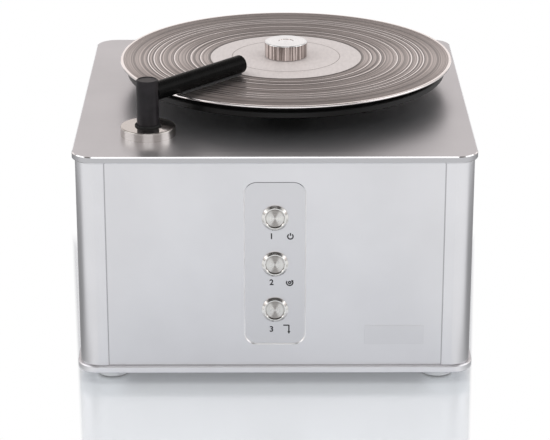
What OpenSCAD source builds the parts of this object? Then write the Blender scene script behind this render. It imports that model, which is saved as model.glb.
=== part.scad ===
// Record cleaning machine.
// An aluminium case stands on four soft feet. A belt turns a platter that carries the record,
// and a hollow arm sucks the wet record dry: the water drops into a tank, the air goes on to a turbine.
// The origin lies on the standing surface under the middle of the whole width and depth, with the
// drain tap counted in. The front faces -Y.

/* [Case] */
// Width of the top and bottom plates
plate_w = 342; // [330:1:440]
// Depth of the top and bottom plates
plate_d = 354; // [345:1:440]
// Thickness of the top and bottom plates
plate_t = 6; // [5:0.5:10]
// Corner radius of the plates
plate_r = 19; // [12:1:30]
// Bevel round the plates' edges
plate_bevel = 0.8; // [0.3:0.1:1.5]
// How far the plates stand out past the body
plate_overhang = 2.5; // [1:0.5:6]
// Height of the body between the plates
body_h = 185; // [180:1:240]
// Thickness of the four panels
panel_t = 3; // [2:0.5:4]
// Play of a panel in its groove, on each side
panel_play = 0.1; // [0.05:0.05:0.3]

/* [Corner posts] */
// Length of each leg of a corner post
post_leg = 25; // [22:0.5:32]
// Outer corner radius of a post
post_r = 16.5; // [8:0.5:17]
// Wall of a post
post_wall = 3; // [2:0.5:4]
// Metal in front of a panel's edge
panel_lip = 1; // [0.8:0.1:2]
// Metal behind a panel's edge
back_lip = 2; // [1.5:0.5:3]
// How deep a panel's edge sits in its groove
groove_depth = 5; // [3:0.5:6]
// Diameter of the port that a tie rod runs in
port_d = 5.4; // [5.2:0.1:6]
// Wall round that port
port_wall = 2.3; // [1.5:0.1:2.5]
// Distance of that port from the two outer faces
port_inset = 12.5; // [11:0.5:14]
// Bevel along the edge of a post beside a panel
lip_bevel = 0.4; // [0.1:0.1:0.8]
// Diameter of the tie rods
rod_d = 5; // [4:0.5:5]
// Diameter of a rod's sunk head
rod_head_d = 9.5; // [8:0.5:11]

/* [Feet] */
// Height of a foot
foot_h = 11; // [8:0.5:20]
// Diameter of a foot
foot_d = 30; // [24:1:36]
// Distance of a foot's centre from the plate's side edge
foot_from_side = 29.5; // [24:0.5:32]
// Distance of a foot's centre from the plate's front or rear edge
foot_from_front = 29; // [24:0.5:32]
// Diameter of a foot's screw
foot_screw_d = 4; // [3:0.5:5]
// Diameter of that screw's head
foot_head_d = 8; // [7:0.5:9]
// Depth of the recess that the head sits in
foot_sink = 6; // [4:0.5:7]

/* [Control field] */
// Width of the sunk field
field_w = 51; // [40:1:80]
// Height of the sunk field
field_h = 146.6; // [120:1:160]
// Corner radius of the sunk field
field_r = 10; // [4:0.5:15]
// Depth of the sunk field
field_depth = 1.2; // [0.6:0.1:1.8]
// Bevel round the field's rim
field_bevel = 0.9; // [0.2:0.1:1.2]
// Height of the field's middle above the bottom plate
field_mid = 93.5; // [85:0.5:120]
// Distance from one push button to the next
button_pitch = 41.8; // [34:0.1:48]
// Diameter of a push button's cap
cap_d = 15.8; // [12:0.2:17]
// Diameter of the bright ring round a cap
bezel_d = 22.6; // [21:0.1:30]
// Diameter of a switch's threaded barrel
barrel_d = 18.8; // [18:0.1:20]
// Length of a switch's barrel behind the panel
barrel_l = 26; // [20:1:36]
// Width across the flats of a switch's nut
nut_flats = 24; // [22:1:27]
// Play between a cap and its ring
cap_play = 0.1; // [0.05:0.05:0.2]
// How far a cap can be pressed
button_travel = 1.8; // [1:0.1:2.5]

/* [Platter] */
// Sideways place of the spindle from the case's middle
spindle_x = 10.8; // [0:0.1:16]
// Place of the spindle behind the case's middle
spindle_y = 28.5; // [10:0.5:32]
// Diameter of the platter
platter_d = 289; // [270:1:300]
// Thickness of the platter's rim
platter_rim = 5.3; // [4:0.1:10]
// Gap between the top plate and the platter
platter_lift = 14; // [13:0.5:24]
// Diameter of the platter's raised seat and of the mat
mat_d = 276; // [260:1:280]
// Height of the raised seat above the rim
seat_h = 3.9; // [2:0.1:8]
// Thickness of the mat
mat_t = 1.6; // [1:0.1:4]
// Diameter of the platter's shaft
shaft_d = 12; // [10:0.5:16]
// Diameter of the spindle that the record is put on
spindle_d = 7.2; // [7:0.05:7.3]
// Running play of a shaft in its bushes
run_play = 0.05; // [0.02:0.01:0.1]

/* [Record] */
// Diameter of the record
record_d = 301.6; // [298:0.2:304]
// Thickness of the record's edge bead
bead_t = 2; // [1.6:0.1:2.4]
// Thickness of the grooved part
groove_t = 1.4; // [1.1:0.1:1.5]
// Thickness of the middle, under the label
label_t = 2.6; // [2.1:0.1:2.9]
// Radius of the pale middle of the record
label_r = 69; // [50:1:70]
// Diameter of the clamp
clamp_d = 38.8; // [30:0.2:60]
// Height of the clamp
clamp_h = 14.2; // [12:0.2:30]
// Radius of the clamp's upper edge
clamp_edge = 0.9; // [0.4:0.1:1.5]

/* [Platter drive] */
// Pitch of the toothed belt
belt_pitch = 5; // [4:0.5:6]
// Teeth of the platter's pulley, a multiple of four
big_teeth = 60; // [48:4:64]
// Teeth of the motor's pulley, a multiple of four
small_teeth = 20; // [16:4:24]
// Teeth of the belt
belt_teeth = 82; // [78:1:88]
// Width of the belt
belt_w = 10; // [6:1:14]
// Thickness of the belt's back
belt_back = 1.2; // [0.8:0.1:2]
// Height of a belt tooth
belt_tooth_h = 1.2; // [1:0.1:1.4]
// Direction from the spindle to the motor
drive_angle = -35; // [-45:1:-20]
// Diameter of the gear motor
motor_d = 60; // [50:1:70]
// Height of the gear motor
motor_h = 38; // [30:1:44]
// Diameter of the gear motor's shaft
motor_shaft_d = 8; // [6:0.5:10]
// Length of the bearing housing under the top plate
housing_l = 54; // [48:1:62]
// Outer diameter of the bearing housing
housing_d = 30; // [26:1:36]
// Length of each bearing bush
bush_l = 14; // [10:1:20]
// Wall of a bearing bush
bush_wall = 3; // [2:0.5:4]
// Width of a spoke-like bar between the big pulley's windows and its rim
spoke = 5; // [4:0.5:7]

/* [Suction arm] */
// Distance of the arm's post from the plate's left edge
arm_from_left = 62.4; // [56:0.1:80]
// Distance of the arm's post from the plate's front edge
arm_from_front = 61.4; // [60:0.1:80]
// Diameter of the post
arm_post_d = 19; // [17:0.5:20]
// Height of the post above the top plate
arm_post_h = 49; // [47:0.5:70]
// Diameter of the arm's tube
arm_tube_d = 16; // [14:0.5:17]
// Wall of the post and of the tube
arm_wall = 2; // [1.5:0.5:3]
// Angle by which the arm points in front of the spindle
arm_lead = 2; // [0:0.5:8]
// Thickness of the velvet lips under the tube
lip_t = 1.2; // [0.8:0.1:2.5]
// Gap between the lips and the record
lip_gap = 0.3; // [0.3:0.1:1]
// Width of the suction slot
slot_w = 2; // [1.5:0.1:3]
// Diameter of the polished ring at the post's foot
ring_d = 47.6; // [46:0.2:60]
// Height of the polished ring
ring_h = 8; // [7:0.5:14]
// Radius of the ring's upper edge
ring_edge = 1.1; // [0.4:0.1:2]
// How far the arm can be lifted
arm_travel = 12; // [6:1:16]

/* [Tank and hoses] */
// Width of the waste tank
tank_w = 115; // [100:1:125]
// Height of the waste tank
tank_h = 73; // [50:1:78]
// Wall of the tank
tank_wall = 2.5; // [2:0.5:4]
// Corner radius of the tank
tank_r = 14; // [8:1:20]
// Outer diameter of the narrow hose's tails
thin_tail_d = 16; // [14:1:18]
// Outer diameter of the wide hose's tails
wide_tail_d = 20; // [18:1:24]
// Wall of the hoses
hose_wall = 2; // [1.5:0.5:3]
// Bend radius of the wide hose's middle line
hose_bend = 30; // [26:1:34]

/* [Turbine] */
// Diameter of the turbine housing
turbine_d = 140; // [130:1:142]
// Height of the turbine housing with its cover
turbine_h = 36; // [32:1:40]
// Wall of the turbine housing
turbine_wall = 2.5; // [2:0.5:4]
// Diameter of the impeller
impeller_d = 112; // [90:1:112]
// Number of the impeller's blades
impeller_blades = 9; // [6:1:12]
// Radius that the blades are bent to
blade_bend_r = 38; // [34:1:44]
// Height of the impeller
impeller_h = 18; // [14:1:20]
// Diameter of the impeller's shaft
fan_shaft_d = 8; // [6:0.5:10]
// Diameter of the turbine's motor
vac_motor_d = 92; // [80:1:92]
// Height of the turbine's motor
vac_motor_h = 48; // [40:1:52]
// Width of the turbine's outlet
outlet_w = 30; // [24:1:34]

/* [Rear] */
// Distance of the mains inlet from the body's right side
inlet_from_side = 43.5; // [38:0.5:60]
// Height of the mains inlet's middle above the bottom plate
inlet_mid = 32; // [31:0.5:36]
// Height of the drain tap above the bottom plate
tap_mid = 18; // [16:0.5:26]
// Outer diameter of the drain tap's hose tail
tap_tail_d = 12; // [10:0.5:14]
// Diameter of the drain tap's bore
tap_bore_d = 7; // [5:0.5:8]
// Width of a vent slot
vent_w = 3; // [2:0.1:3.8]
// Distance from one vent slot to the next
vent_pitch = 6; // [5.5:0.5:9]
// Slots in each of the two upper vent rows
vent_count = 14; // [8:1:18]
// Length of the slots in those rows
vent_h = 30; // [16:1:40]
// Distance of each row's middle from the case's middle
vent_row_x = 75; // [60:1:84]

/* [Hidden] */
$fn = 72;

silver = [0.80, 0.80, 0.82];
steel = [0.72, 0.72, 0.74];
bright = [0.88, 0.88, 0.88];
black = [0.08, 0.08, 0.09];
soft_black = [0.14, 0.14, 0.15];
bronze = [0.72, 0.52, 0.28];
white_plastic = [0.86, 0.87, 0.88];
board_green = [0.12, 0.36, 0.22];

// How far a cutting shape runs past the face it cuts
past = 1;
// Free gap between pieces that move past each other without guiding each other
clear = 0.3;
// Gap round a screw or a rod in its hole
thread_play = 0.05;

cap_screw_d = 4;
cap_screw_head_d = 7;
cap_screw_head_h = 4;
cap_screw_bite = 4;
cap_screw_socket_d = 3.4;
// Room round the head of a screw in its recess, and below its end in a blind hole
head_room = 0.6;
end_room = 0.3;
// Small screws of the inlet and the board
small_screw_d = 3;
rod_socket_d = 3.2;
// Wall of a tail that a hose is pushed over
tail_wall = 2;

body_w = plate_w - 2 * plate_overhang;
body_d = plate_d - 2 * plate_overhang;
floor_z = foot_h + plate_t;
ceiling_z = floor_z + body_h;
deck_z = ceiling_z + plate_t;
panel_face = panel_lip + panel_play;
panel_back = panel_face + panel_t;
front_inner_y = -body_d / 2 + panel_back;
rear_inner_y = body_d / 2 - panel_back;
rear_face_y = body_d / 2 - panel_face;
left_inner_x = -body_w / 2 + panel_back;
right_inner_x = body_w / 2 - panel_back;

rod_x = body_w / 2 - port_inset;
rod_y = body_d / 2 - port_inset;
foot_x = plate_w / 2 - foot_from_side;
foot_y = plate_d / 2 - foot_from_front;

field_z = floor_z + field_mid;
field_y = -body_d / 2 + panel_face + field_depth;
button_z = [field_z + button_pitch, field_z, field_z - button_pitch];

platter_z = deck_z + platter_lift;
seat_z = platter_z + platter_rim + seat_h;
mat_top_z = seat_z + mat_t;
record_mid_z = mat_top_z + bead_t / 2;
bead_top_z = mat_top_z + bead_t;
label_top_z = record_mid_z + label_t / 2;
pad_t = 1;
spindle_in_clamp = 3;
skirt_w = 2.6;
clamp_z = label_top_z + thread_play;
clamp_top_z = clamp_z + clamp_h;
spindle_top_z = clamp_top_z - spindle_in_clamp;

washer_t = 1;
washer_w = 7;
washer_gap = 0.1;
housing_top_z = deck_z + 4;
housing_z = ceiling_z - housing_l;
hub_z = housing_top_z + washer_t + washer_gap;

arm_x = -plate_w / 2 + arm_from_left;
arm_y = -plate_d / 2 + arm_from_front;
spindle_dist = norm([spindle_x - arm_x, spindle_y - arm_y]);
arm_angle = atan2(spindle_y - arm_y, spindle_x - arm_x) - arm_lead;
arm_side = spindle_dist * sin(arm_lead);
arm_reach = spindle_dist * cos(arm_lead) - sqrt(pow(label_r, 2) - pow(arm_side, 2));
arm_z = bead_top_z + lip_gap + lip_t + arm_tube_d / 2;
arm_post_top_z = deck_z + arm_post_h;
// The post's wall is a little thicker than the tube's, which ends at the post's bore
post_bore_r = arm_post_d / 2 - arm_wall - 1;
end_cap_t = 1.5;
slot_start = spindle_dist - record_d / 2 + 4;
slot_end = arm_reach - 6;

swivel_wall = 3.5;
bush_d = arm_post_d + 2 * swivel_wall;
// How deep the swivel bush hangs under the top plate, and the room for the seal above it
swivel_hang = 52;
seal_h = 3.5;
bush_z = ceiling_z - swivel_hang;
bush_top_z = deck_z + ring_h - seal_h;
collar_h = 6;
collar_z = bush_z - arm_travel - clear - collar_h;
guide_wall = 3;
guide_floor_t = 6.4;
guide_tail_l = 20;
guide_floor_z = collar_z - clear;
guide_d = bush_d + 2 * guide_wall;
guide_z = guide_floor_z - guide_floor_t;
guide_tail_z = guide_z - guide_tail_l;
guide_flange_t = 5;
guide_flange_d = ring_d + 6;
guide_screw_r = guide_d / 2 + cap_screw_head_d / 2 + 0.4;
// How deep the guide's screws bite into the ring
ring_bite = 4;
seal_wall = 1.8;
seal_d = arm_post_d + 2 * seal_wall;

tank_top_z = floor_z + tank_h;
tank_rim_w = 3;
lid_t = 4;
lid_plug_h = 3;
lid_top_z = tank_top_z + lid_t;
tank_gap = 4.4;
tank_x = left_inner_x + tank_gap + tank_w / 2;
tank_front_y = -body_d / 2 + post_leg + 4.5;
drain_d = 14;
drain_space = 55.4;
tank_rear_y = rear_inner_y - drain_space;
tank_d = tank_rear_y - tank_front_y;
tank_y = (tank_front_y + tank_rear_y) / 2;
tail_l = 14;

turbine_gap = 5.4;
turbine_x = right_inner_x - turbine_gap - 1 - turbine_d / 2;
turbine_y = rear_inner_y - turbine_gap - turbine_d / 2;
mount_h = 6;
motor_neck_h = 4;
vac_motor_z = floor_z + mount_h;
turbine_z = vac_motor_z + vac_motor_h + motor_neck_h;
turbine_top_z = turbine_z + turbine_h;
cover_t = 3;
ear_d = 10;
ear_r = turbine_d / 2 - turbine_wall + ear_d / 2 + 0.6;
ear_h = 12;
impeller_z = turbine_z + turbine_wall + 4;
impeller_plate_t = 1.6;
impeller_hub_d = 20;
impeller_hub_h = impeller_h - 5.4;
eye_d = 36;
// How far a motor's shaft reaches into each motor
fan_shaft_in = 24;
motor_shaft_in = 19;
lid_outlet_x = tank_x + tank_w / 2 - 25;
hose_z = turbine_top_z + tail_l + 6 + hose_bend;

inlet_x = body_w / 2 - inlet_from_side;
inlet_z = floor_z + inlet_mid;
inlet_w = 30;
inlet_h = 58;
inlet_t = 3;
inlet_body_w = 27;
inlet_body_h = 47;
inlet_depth = 28;
inlet_screw_pitch = 52;
socket_w = 24;
socket_h = 16.5;
socket_depth = 17;
socket_up = 9.5;
drawer_w = 22;
drawer_h = 9;
drawer_down = 13;
drawer_depth = 24;
drawer_gap = 0.2;

tap_x = tank_x;
tap_z = floor_z + tap_mid;
tap_d = 20;
tap_thread_d = 16;
tap_l = 22;
tap_plug_d = 11;
tap_plug_y = rear_face_y + tap_l / 2 + 1;
tap_tail_l = 16;
tap_flange_t = 3;
tap_end_y = rear_face_y + tap_l + tap_tail_l;
// How far the case stands in front of its own middle, because the tap sticks out behind
case_shift = (tap_end_y - plate_d / 2) / 2;

board_w = 110;
board_d = 80;
board_t = 1.6;
board_x = right_inner_x - 15.4 - board_w / 2;
board_y = front_inner_y + 35 + board_d / 2;
spacer_h = 8;
board_z = floor_z + spacer_h;
board_inset = 5;

// Pitch radii of the two pulleys
big_r = big_teeth * belt_pitch / (2 * PI);
small_r = small_teeth * belt_pitch / (2 * PI);

// Length of an open belt round the two pulleys at a centre distance of c
function belt_length(c) =
  let (lean = asin((big_r - small_r) / c))
  2 * sqrt(c * c - pow(big_r - small_r, 2))
  + big_r * PI * (180 + 2 * lean) / 180
  + small_r * PI * (180 - 2 * lean) / 180;

// Centre distance at which the belt has its whole number of teeth, found by halving
function centre_distance(low, high, steps) =
  let (mid = (low + high) / 2)
  steps == 0 ? mid
  : belt_length(mid) > belt_teeth * belt_pitch ? centre_distance(low, mid, steps - 1)
  : centre_distance(mid, high, steps - 1);

centres = centre_distance(big_r, big_r * 6, 40);
// Angle from the line of centres to where the belt leaves each pulley
leave = acos((big_r - small_r) / centres);
span_l = sqrt(pow(centres, 2) - pow(big_r - small_r, 2));
big_arc = big_r * (360 - 2 * leave) * PI / 180;
small_arc = small_r * 2 * leave * PI / 180;
belt_total = belt_teeth * belt_pitch;
motor_x = spindle_x + centres * cos(drive_angle);
motor_y = spindle_y + centres * sin(drive_angle);

// Groove of a pulley: width at the rim, width at the floor, depth, and play under the belt's back
groove_top_w = belt_pitch * 0.68;
groove_floor_w = belt_pitch * 0.5;
groove_cut = belt_tooth_h + 0.3;
back_play = 0.25;
tooth_root_w = belt_pitch * 0.53;
tooth_tip_w = belt_pitch * 0.36;
pulley_face_w = belt_w + 2;
flange_t = 1.2;
flange_over = 2;
pulley_h = pulley_face_w + 2 * flange_t;
pulley_z = housing_z - 6 - pulley_h;
belt_z = pulley_z + flange_t + (pulley_face_w - belt_w) / 2;
pulley_boss_h = 5;
big_boss_d = 26;
small_boss_d = 18;
// First groove of the small pulley that lies on the belt's wrap
small_start_s = big_arc + span_l;
small_phase = -leave
  + (ceil(small_start_s / belt_pitch) * belt_pitch - small_start_s) / small_r * 180 / PI;

bracket_t = 3;
bracket_w = 84;
bracket_z = pulley_z + pulley_h + 4;
motor_z = bracket_z + bracket_t;
bracket_post_inset = 7;
motor_screw_r = motor_d / 2 - 7;
gearbox_h = 21;
motor_pilot_d = 20;
shaft_z = pulley_z - pulley_boss_h - 1;

bearing_screw_r = 22.5;
housing_flange_d = 58;
housing_flange_t = 6;

// Rectangle with round corners, about its middle
module round_rect(w, d, r) {
  square([w - 2 * r, d], center = true);
  square([w, d - 2 * r], center = true);
  for (x = [-1, 1], y = [-1, 1])
    translate([x * (w / 2 - r), y * (d / 2 - r)]) circle(r);
}

// Plain ring or tube that stands on z = 0
module tube(outer_d, inner_d, h) {
  difference() {
    cylinder(d = outer_d, h = h);
    translate([0, 0, -past]) cylinder(d = inner_d, h = h + 2 * past);
  }
}

// Section of a plate with both long edges bevelled
function bevelled_section(w, t, c) = [
  [-w / 2 + c, 0], [w / 2 - c, 0], [w / 2, c], [w / 2, t - c],
  [w / 2 - c, t], [-w / 2 + c, t], [-w / 2, t - c], [-w / 2, c],
];

// Case plate: two crossed bevelled slabs and four turned corners
module case_plate() {
  long_x = plate_w - 2 * plate_r;
  long_y = plate_d - 2 * plate_r;
  rotate([90, 0, 90]) translate([0, 0, -long_x / 2])
    linear_extrude(long_x) polygon(bevelled_section(plate_d, plate_t, plate_bevel));
  rotate([90, 0, 0]) translate([0, 0, -long_y / 2])
    linear_extrude(long_y) polygon(bevelled_section(plate_w, plate_t, plate_bevel));
  for (x = [-1, 1], y = [-1, 1])
    translate([x * long_x / 2, y * long_y / 2]) rotate_extrude()
      polygon([
        [0, 0], [plate_r - plate_bevel, 0], [plate_r, plate_bevel],
        [plate_r, plate_t - plate_bevel], [plate_r - plate_bevel, plate_t], [0, plate_t],
      ]);
}

// Children at the four corners of a rectangle
module at_corners(x, y) {
  for (i = [-1, 1], j = [-1, 1]) translate([i * x, j * y, 0]) children();
}

// Children at n even steps round a circle
module round_circle(n, r, start = 0) {
  for (i = [0 : n - 1]) rotate(start + i * 360 / n) translate([r, 0, 0]) children();
}

module top_plate() {
  color(silver) difference() {
    translate([0, 0, ceiling_z]) case_plate();
    translate([spindle_x, spindle_y, ceiling_z - past])
      cylinder(d = housing_d + 2 * thread_play, h = plate_t + 2 * past);
    translate([arm_x, arm_y, ceiling_z - past])
      cylinder(d = bush_d + 2 * clear, h = plate_t + 2 * past);
    translate([arm_x, arm_y, ceiling_z - past])
      round_circle(3, guide_screw_r, 30)
        cylinder(d = cap_screw_d + 2 * thread_play, h = plate_t + 2 * past);
    translate([0, 0, ceiling_z - past])
      at_corners(rod_x, rod_y) cylinder(d = rod_d + 2 * thread_play, h = plate_t - 1.5 + past);
    translate([spindle_x, spindle_y, ceiling_z - past])
      round_circle(4, bearing_screw_r, 45)
        cylinder(d = cap_screw_d + 2 * thread_play, h = cap_screw_bite + end_room + past);
    translate([motor_x, motor_y, ceiling_z - past])
      at_corners(bracket_w / 2 - bracket_post_inset, bracket_w / 2 - bracket_post_inset)
        cylinder(d = cap_screw_d + 2 * thread_play, h = cap_screw_bite + end_room + past);
  }
}

module bottom_plate() {
  sink = (rod_head_d - rod_d) / 2;
  color(silver) difference() {
    translate([0, 0, foot_h]) case_plate();
    translate([0, 0, foot_h]) at_corners(rod_x, rod_y) {
      translate([0, 0, -past]) cylinder(d = rod_d + 2 * thread_play, h = plate_t + 2 * past);
      cylinder(d1 = rod_head_d + 2 * thread_play, d2 = rod_d + 2 * thread_play, h = sink);
    }
    translate([0, 0, foot_h - past]) at_corners(foot_x, foot_y)
      cylinder(d = foot_screw_d + 2 * thread_play, h = plate_t + 2 * past);
  }
}

// Square corner with one round outer corner, with its metal towards -X and -Y
module corner_square(size, r) {
  intersection() {
    translate([-size, -size]) square(size);
    union() {
      translate([-2 * size, -size]) square([2 * size - r, size]);
      translate([-size, -2 * size]) square([size, 2 * size - r]);
      translate([-r, -r]) circle(r);
    }
  }
}

// One end of a post's leg: the groove that holds a panel's edge
module panel_groove(solid) {
  groove_w = panel_t + 2 * panel_play;
  if (solid)
    translate([-post_leg, -panel_lip - groove_w - back_lip])
      square([groove_depth + post_wall, panel_lip + groove_w + back_lip]);
  else
    translate([-post_leg - past, -panel_lip - groove_w])
      square([groove_depth + past, groove_w]);
}

// Section of the extruded post, with its outer corner at the origin
module post_section() {
  web_l = (port_inset - post_r) * sqrt(2) + post_r - post_wall / 2;
  difference() {
    union() {
      difference() {
        corner_square(post_leg, post_r);
        translate([-post_wall, -post_wall]) corner_square(post_leg, post_r - post_wall);
      }
      panel_groove(true);
      mirror([1, -1, 0]) panel_groove(true);
      translate([-port_inset, -port_inset]) circle(d = port_d + 2 * port_wall);
      translate([-port_inset, -port_inset]) rotate(45)
        translate([0, -post_wall / 2]) square([web_l, post_wall]);
    }
    panel_groove(false);
    mirror([1, -1, 0]) panel_groove(false);
    for (c = [[-post_leg, 0], [0, -post_leg]])
      translate(c) rotate(45) square(lip_bevel * sqrt(2), center = true);
    translate([-port_inset, -port_inset]) circle(d = port_d);
  }
}

module corner_posts() {
  color(silver)
    for (i = [0, 1], j = [0, 1])
      mirror([i, 0, 0]) mirror([0, j, 0])
        translate([body_w / 2, body_d / 2, floor_z]) linear_extrude(body_h) post_section();
}

// Blank panel that stands on the bottom plate, with its outer face at -Y and y = 0
module blank_panel(case_side) {
  w = case_side - 2 * (post_leg - groove_depth + panel_play);
  translate([-w / 2, 0, floor_z]) cube([w, panel_t, body_h]);
}

// Half section of the sunk field's cut: an upright wall, then a bevel that runs on past the face
function field_cut(half_w) =
  let (c = min(field_bevel, field_depth - 0.1))
  [
    [0, 0], [half_w, 0], [half_w, field_depth - c],
    [half_w + c + past, field_depth + past], [0, field_depth + past],
  ];

// Sunk field, as wide at its floor as stated: two crossed slabs and four turned corners
module sunk_field() {
  long_x = field_w - 2 * field_r;
  long_y = field_h - 2 * field_r;
  rotate([90, 0, 90]) translate([0, 0, -long_x / 2]) linear_extrude(long_x)
    for (m = [0, 1]) mirror([m, 0]) polygon(field_cut(field_h / 2));
  rotate([90, 0, 0]) translate([0, 0, -long_y / 2]) linear_extrude(long_y)
    for (m = [0, 1]) mirror([m, 0]) polygon(field_cut(field_w / 2));
  for (x = [-1, 1], y = [-1, 1])
    translate([x * long_x / 2, y * long_y / 2]) rotate_extrude() polygon(field_cut(field_r));
}

module front_panel() {
  color(silver) difference() {
    translate([0, -body_d / 2 + panel_face, 0]) blank_panel(body_w);
    translate([0, field_y, field_z]) rotate([90, 0, 0]) sunk_field();
    for (z = button_z)
      translate([0, front_inner_y + past, z]) rotate([90, 0, 0])
        cylinder(d = barrel_d + 2 * thread_play, h = panel_t + 2 * past);
  }
}

// Row of upright vent slots, cut through a panel whose outer face is at +Y and y = 0
module vent_row(count, h) {
  for (i = [0 : count - 1])
    translate([(i - (count - 1) / 2) * vent_pitch, past, 0]) rotate([90, 0, 0])
      linear_extrude(panel_t + 2 * past) {
        square([vent_w, h - vent_w], center = true);
        for (s = [-1, 1]) translate([0, s * (h - vent_w) / 2]) circle(d = vent_w);
      }
}

module rear_panel() {
  outlet_x = turbine_x - turbine_d / 2 + outlet_w / 2;
  outlet_slots = floor((outlet_w - 2 * turbine_wall) / vent_pitch);
  vent_down = 35;
  color(silver) difference() {
    translate([0, rear_face_y, 0]) mirror([0, 1, 0]) blank_panel(body_w);
    translate([outlet_x, rear_face_y, turbine_z + turbine_h / 2])
      vent_row(outlet_slots, turbine_h - 4 * turbine_wall);
    for (side = [-1, 1])
      translate([side * vent_row_x, rear_face_y, ceiling_z - vent_down]) vent_row(vent_count, vent_h);
    translate([inlet_x, rear_face_y + past, inlet_z]) rotate([90, 0, 0])
      linear_extrude(panel_t + 2 * past)
        square([inlet_body_w + 2 * clear, inlet_body_h + 2 * clear], center = true);
    for (s = [-1, 1])
      translate([inlet_x, rear_face_y + past, inlet_z + s * inlet_screw_pitch / 2])
        rotate([90, 0, 0]) cylinder(d = small_screw_d + 2 * thread_play, h = panel_t + 2 * past);
    translate([tap_x, rear_face_y + past, tap_z]) rotate([90, 0, 0])
      cylinder(d = tap_thread_d + 2 * thread_play, h = panel_t + 2 * past);
  }
}

module left_panel() {
  color(silver) rotate(-90) translate([0, -body_w / 2 + panel_face, 0]) blank_panel(body_d);
}

module right_panel() {
  color(silver) rotate(90) translate([0, -body_w / 2 + panel_face, 0]) blank_panel(body_d);
}

// Long rods that pull the top plate down on the posts, with sunk heads under the bottom plate
module tie_rods() {
  sink = (rod_head_d - rod_d) / 2;
  color(steel) translate([0, 0, foot_h]) at_corners(rod_x, rod_y) difference() {
    union() {
      cylinder(d1 = rod_head_d, d2 = rod_d, h = sink);
      cylinder(d = rod_d, h = 2 * plate_t + body_h - 2);
    }
    translate([0, 0, -past]) cylinder(d = rod_socket_d, h = past + 1.8, $fn = 6);
  }
}

module feet() {
  edge = 4;
  color(white_plastic) at_corners(foot_x, foot_y) difference() {
    rotate_extrude() {
      square([foot_d / 2 - edge, foot_h]);
      translate([0, edge]) square([foot_d / 2, foot_h - edge]);
      translate([foot_d / 2 - edge, edge]) circle(edge);
    }
    translate([0, 0, -past]) cylinder(d = foot_head_d + 2 * head_room, h = foot_sink + past);
    cylinder(d = foot_screw_d + 2 * clear, h = foot_h + past);
  }
}

module foot_screws() {
  head_h = 2.6;
  socket_d = 2.8;
  color(steel) at_corners(foot_x, foot_y) translate([0, 0, foot_sink - head_h])
    difference() {
      union() {
        cylinder(d = foot_head_d, h = head_h);
        cylinder(d = foot_screw_d, h = head_h + foot_h - foot_sink + plate_t);
      }
      translate([0, 0, -past]) cylinder(d = socket_d, h = past + 1.6, $fn = 6);
    }
}

// Children with their z axis pointing out of the front, at the floor of the sunk field
module at_button(z) {
  translate([0, field_y, z]) rotate([90, 0, 0]) children();
}

module switch_barrels() {
  rim_r = cap_d / 2 + cap_play;
  bezel_h = 2.8;
  color(bright) for (z = button_z) at_button(z) {
    rotate_extrude() polygon([
      [rim_r, bezel_h - 0.5], [rim_r + 0.6, bezel_h], [bezel_d / 2 - 2, bezel_h],
      [bezel_d / 2, 1.1], [bezel_d / 2, 0], [barrel_d / 2, 0], [barrel_d / 2, -barrel_l],
      [4, -barrel_l], [4, 0.2 - barrel_l / 2], [rim_r, 0.2 - barrel_l / 2],
    ]);
    for (s = [-1, 1]) translate([s * 6.2 - 0.4, -1.5, -barrel_l - 7]) cube([0.8, 3, 8]);
  }
}

module switch_nuts() {
  nut_h = 4;
  color(bright) for (z = button_z)
    translate([0, front_inner_y + nut_h, z]) rotate([90, 0, 0]) difference() {
      cylinder(d = nut_flats / cos(30), h = nut_h, $fn = 6);
      translate([0, 0, -past]) cylinder(d = barrel_d + 2 * thread_play, h = nut_h + 2 * past);
    }
}

// Push button cap with a stem that slides in the barrel
module button_cap(z) {
  top = 2.2;
  color(bright) at_button(z) rotate_extrude() polygon([
    [0, top], [cap_d / 2 - 0.5, top], [cap_d / 2, top - 0.5], [cap_d / 2, top - 7],
    [4 - cap_play, top - 7], [4 - cap_play, -barrel_l + button_travel + 1],
    [0, -barrel_l + button_travel + 1],
  ]);
}

module upper_button() { button_cap(button_z[0]); }
module middle_button() { button_cap(button_z[1]); }
module lower_button() { button_cap(button_z[2]); }

module bearing_housing() {
  color(steel) translate([spindle_x, spindle_y, 0]) difference() {
    union() {
      translate([0, 0, housing_z]) cylinder(d = housing_d, h = housing_top_z - housing_z);
      translate([0, 0, ceiling_z - housing_flange_t])
        cylinder(d = housing_flange_d, h = housing_flange_t);
    }
    translate([0, 0, housing_z - past])
      cylinder(d = shaft_d + 2 * bush_wall, h = housing_top_z - housing_z + 2 * past);
    translate([0, 0, ceiling_z - housing_flange_t - past])
      round_circle(4, bearing_screw_r, 45)
        cylinder(d = cap_screw_d + 2 * clear, h = housing_flange_t + 2 * past);
  }
}

module bearing_bushes() {
  color(bronze) translate([spindle_x, spindle_y, 0])
    for (z = [housing_z, housing_top_z - bush_l])
      translate([0, 0, z]) tube(shaft_d + 2 * bush_wall, shaft_d + 2 * run_play, bush_l);
}

module thrust_washer() {
  color(bronze) translate([spindle_x, spindle_y, housing_top_z])
    tube(shaft_d + 2 * washer_w, shaft_d + 2 * clear, washer_t);
}

// Steel shaft that becomes the thinner spindle above the platter's seat
module platter_shaft() {
  color(steel) translate([spindle_x, spindle_y, 0]) {
    translate([0, 0, shaft_z]) cylinder(d = shaft_d, h = platter_z + platter_rim - shaft_z);
    cone = 1.6;
    translate([0, 0, platter_z]) {
      cylinder(d = spindle_d, h = spindle_top_z - cone - platter_z);
      translate([0, 0, spindle_top_z - cone - platter_z])
        cylinder(d1 = spindle_d, d2 = spindle_d - 2 * cone, h = cone);
    }
  }
}

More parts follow.
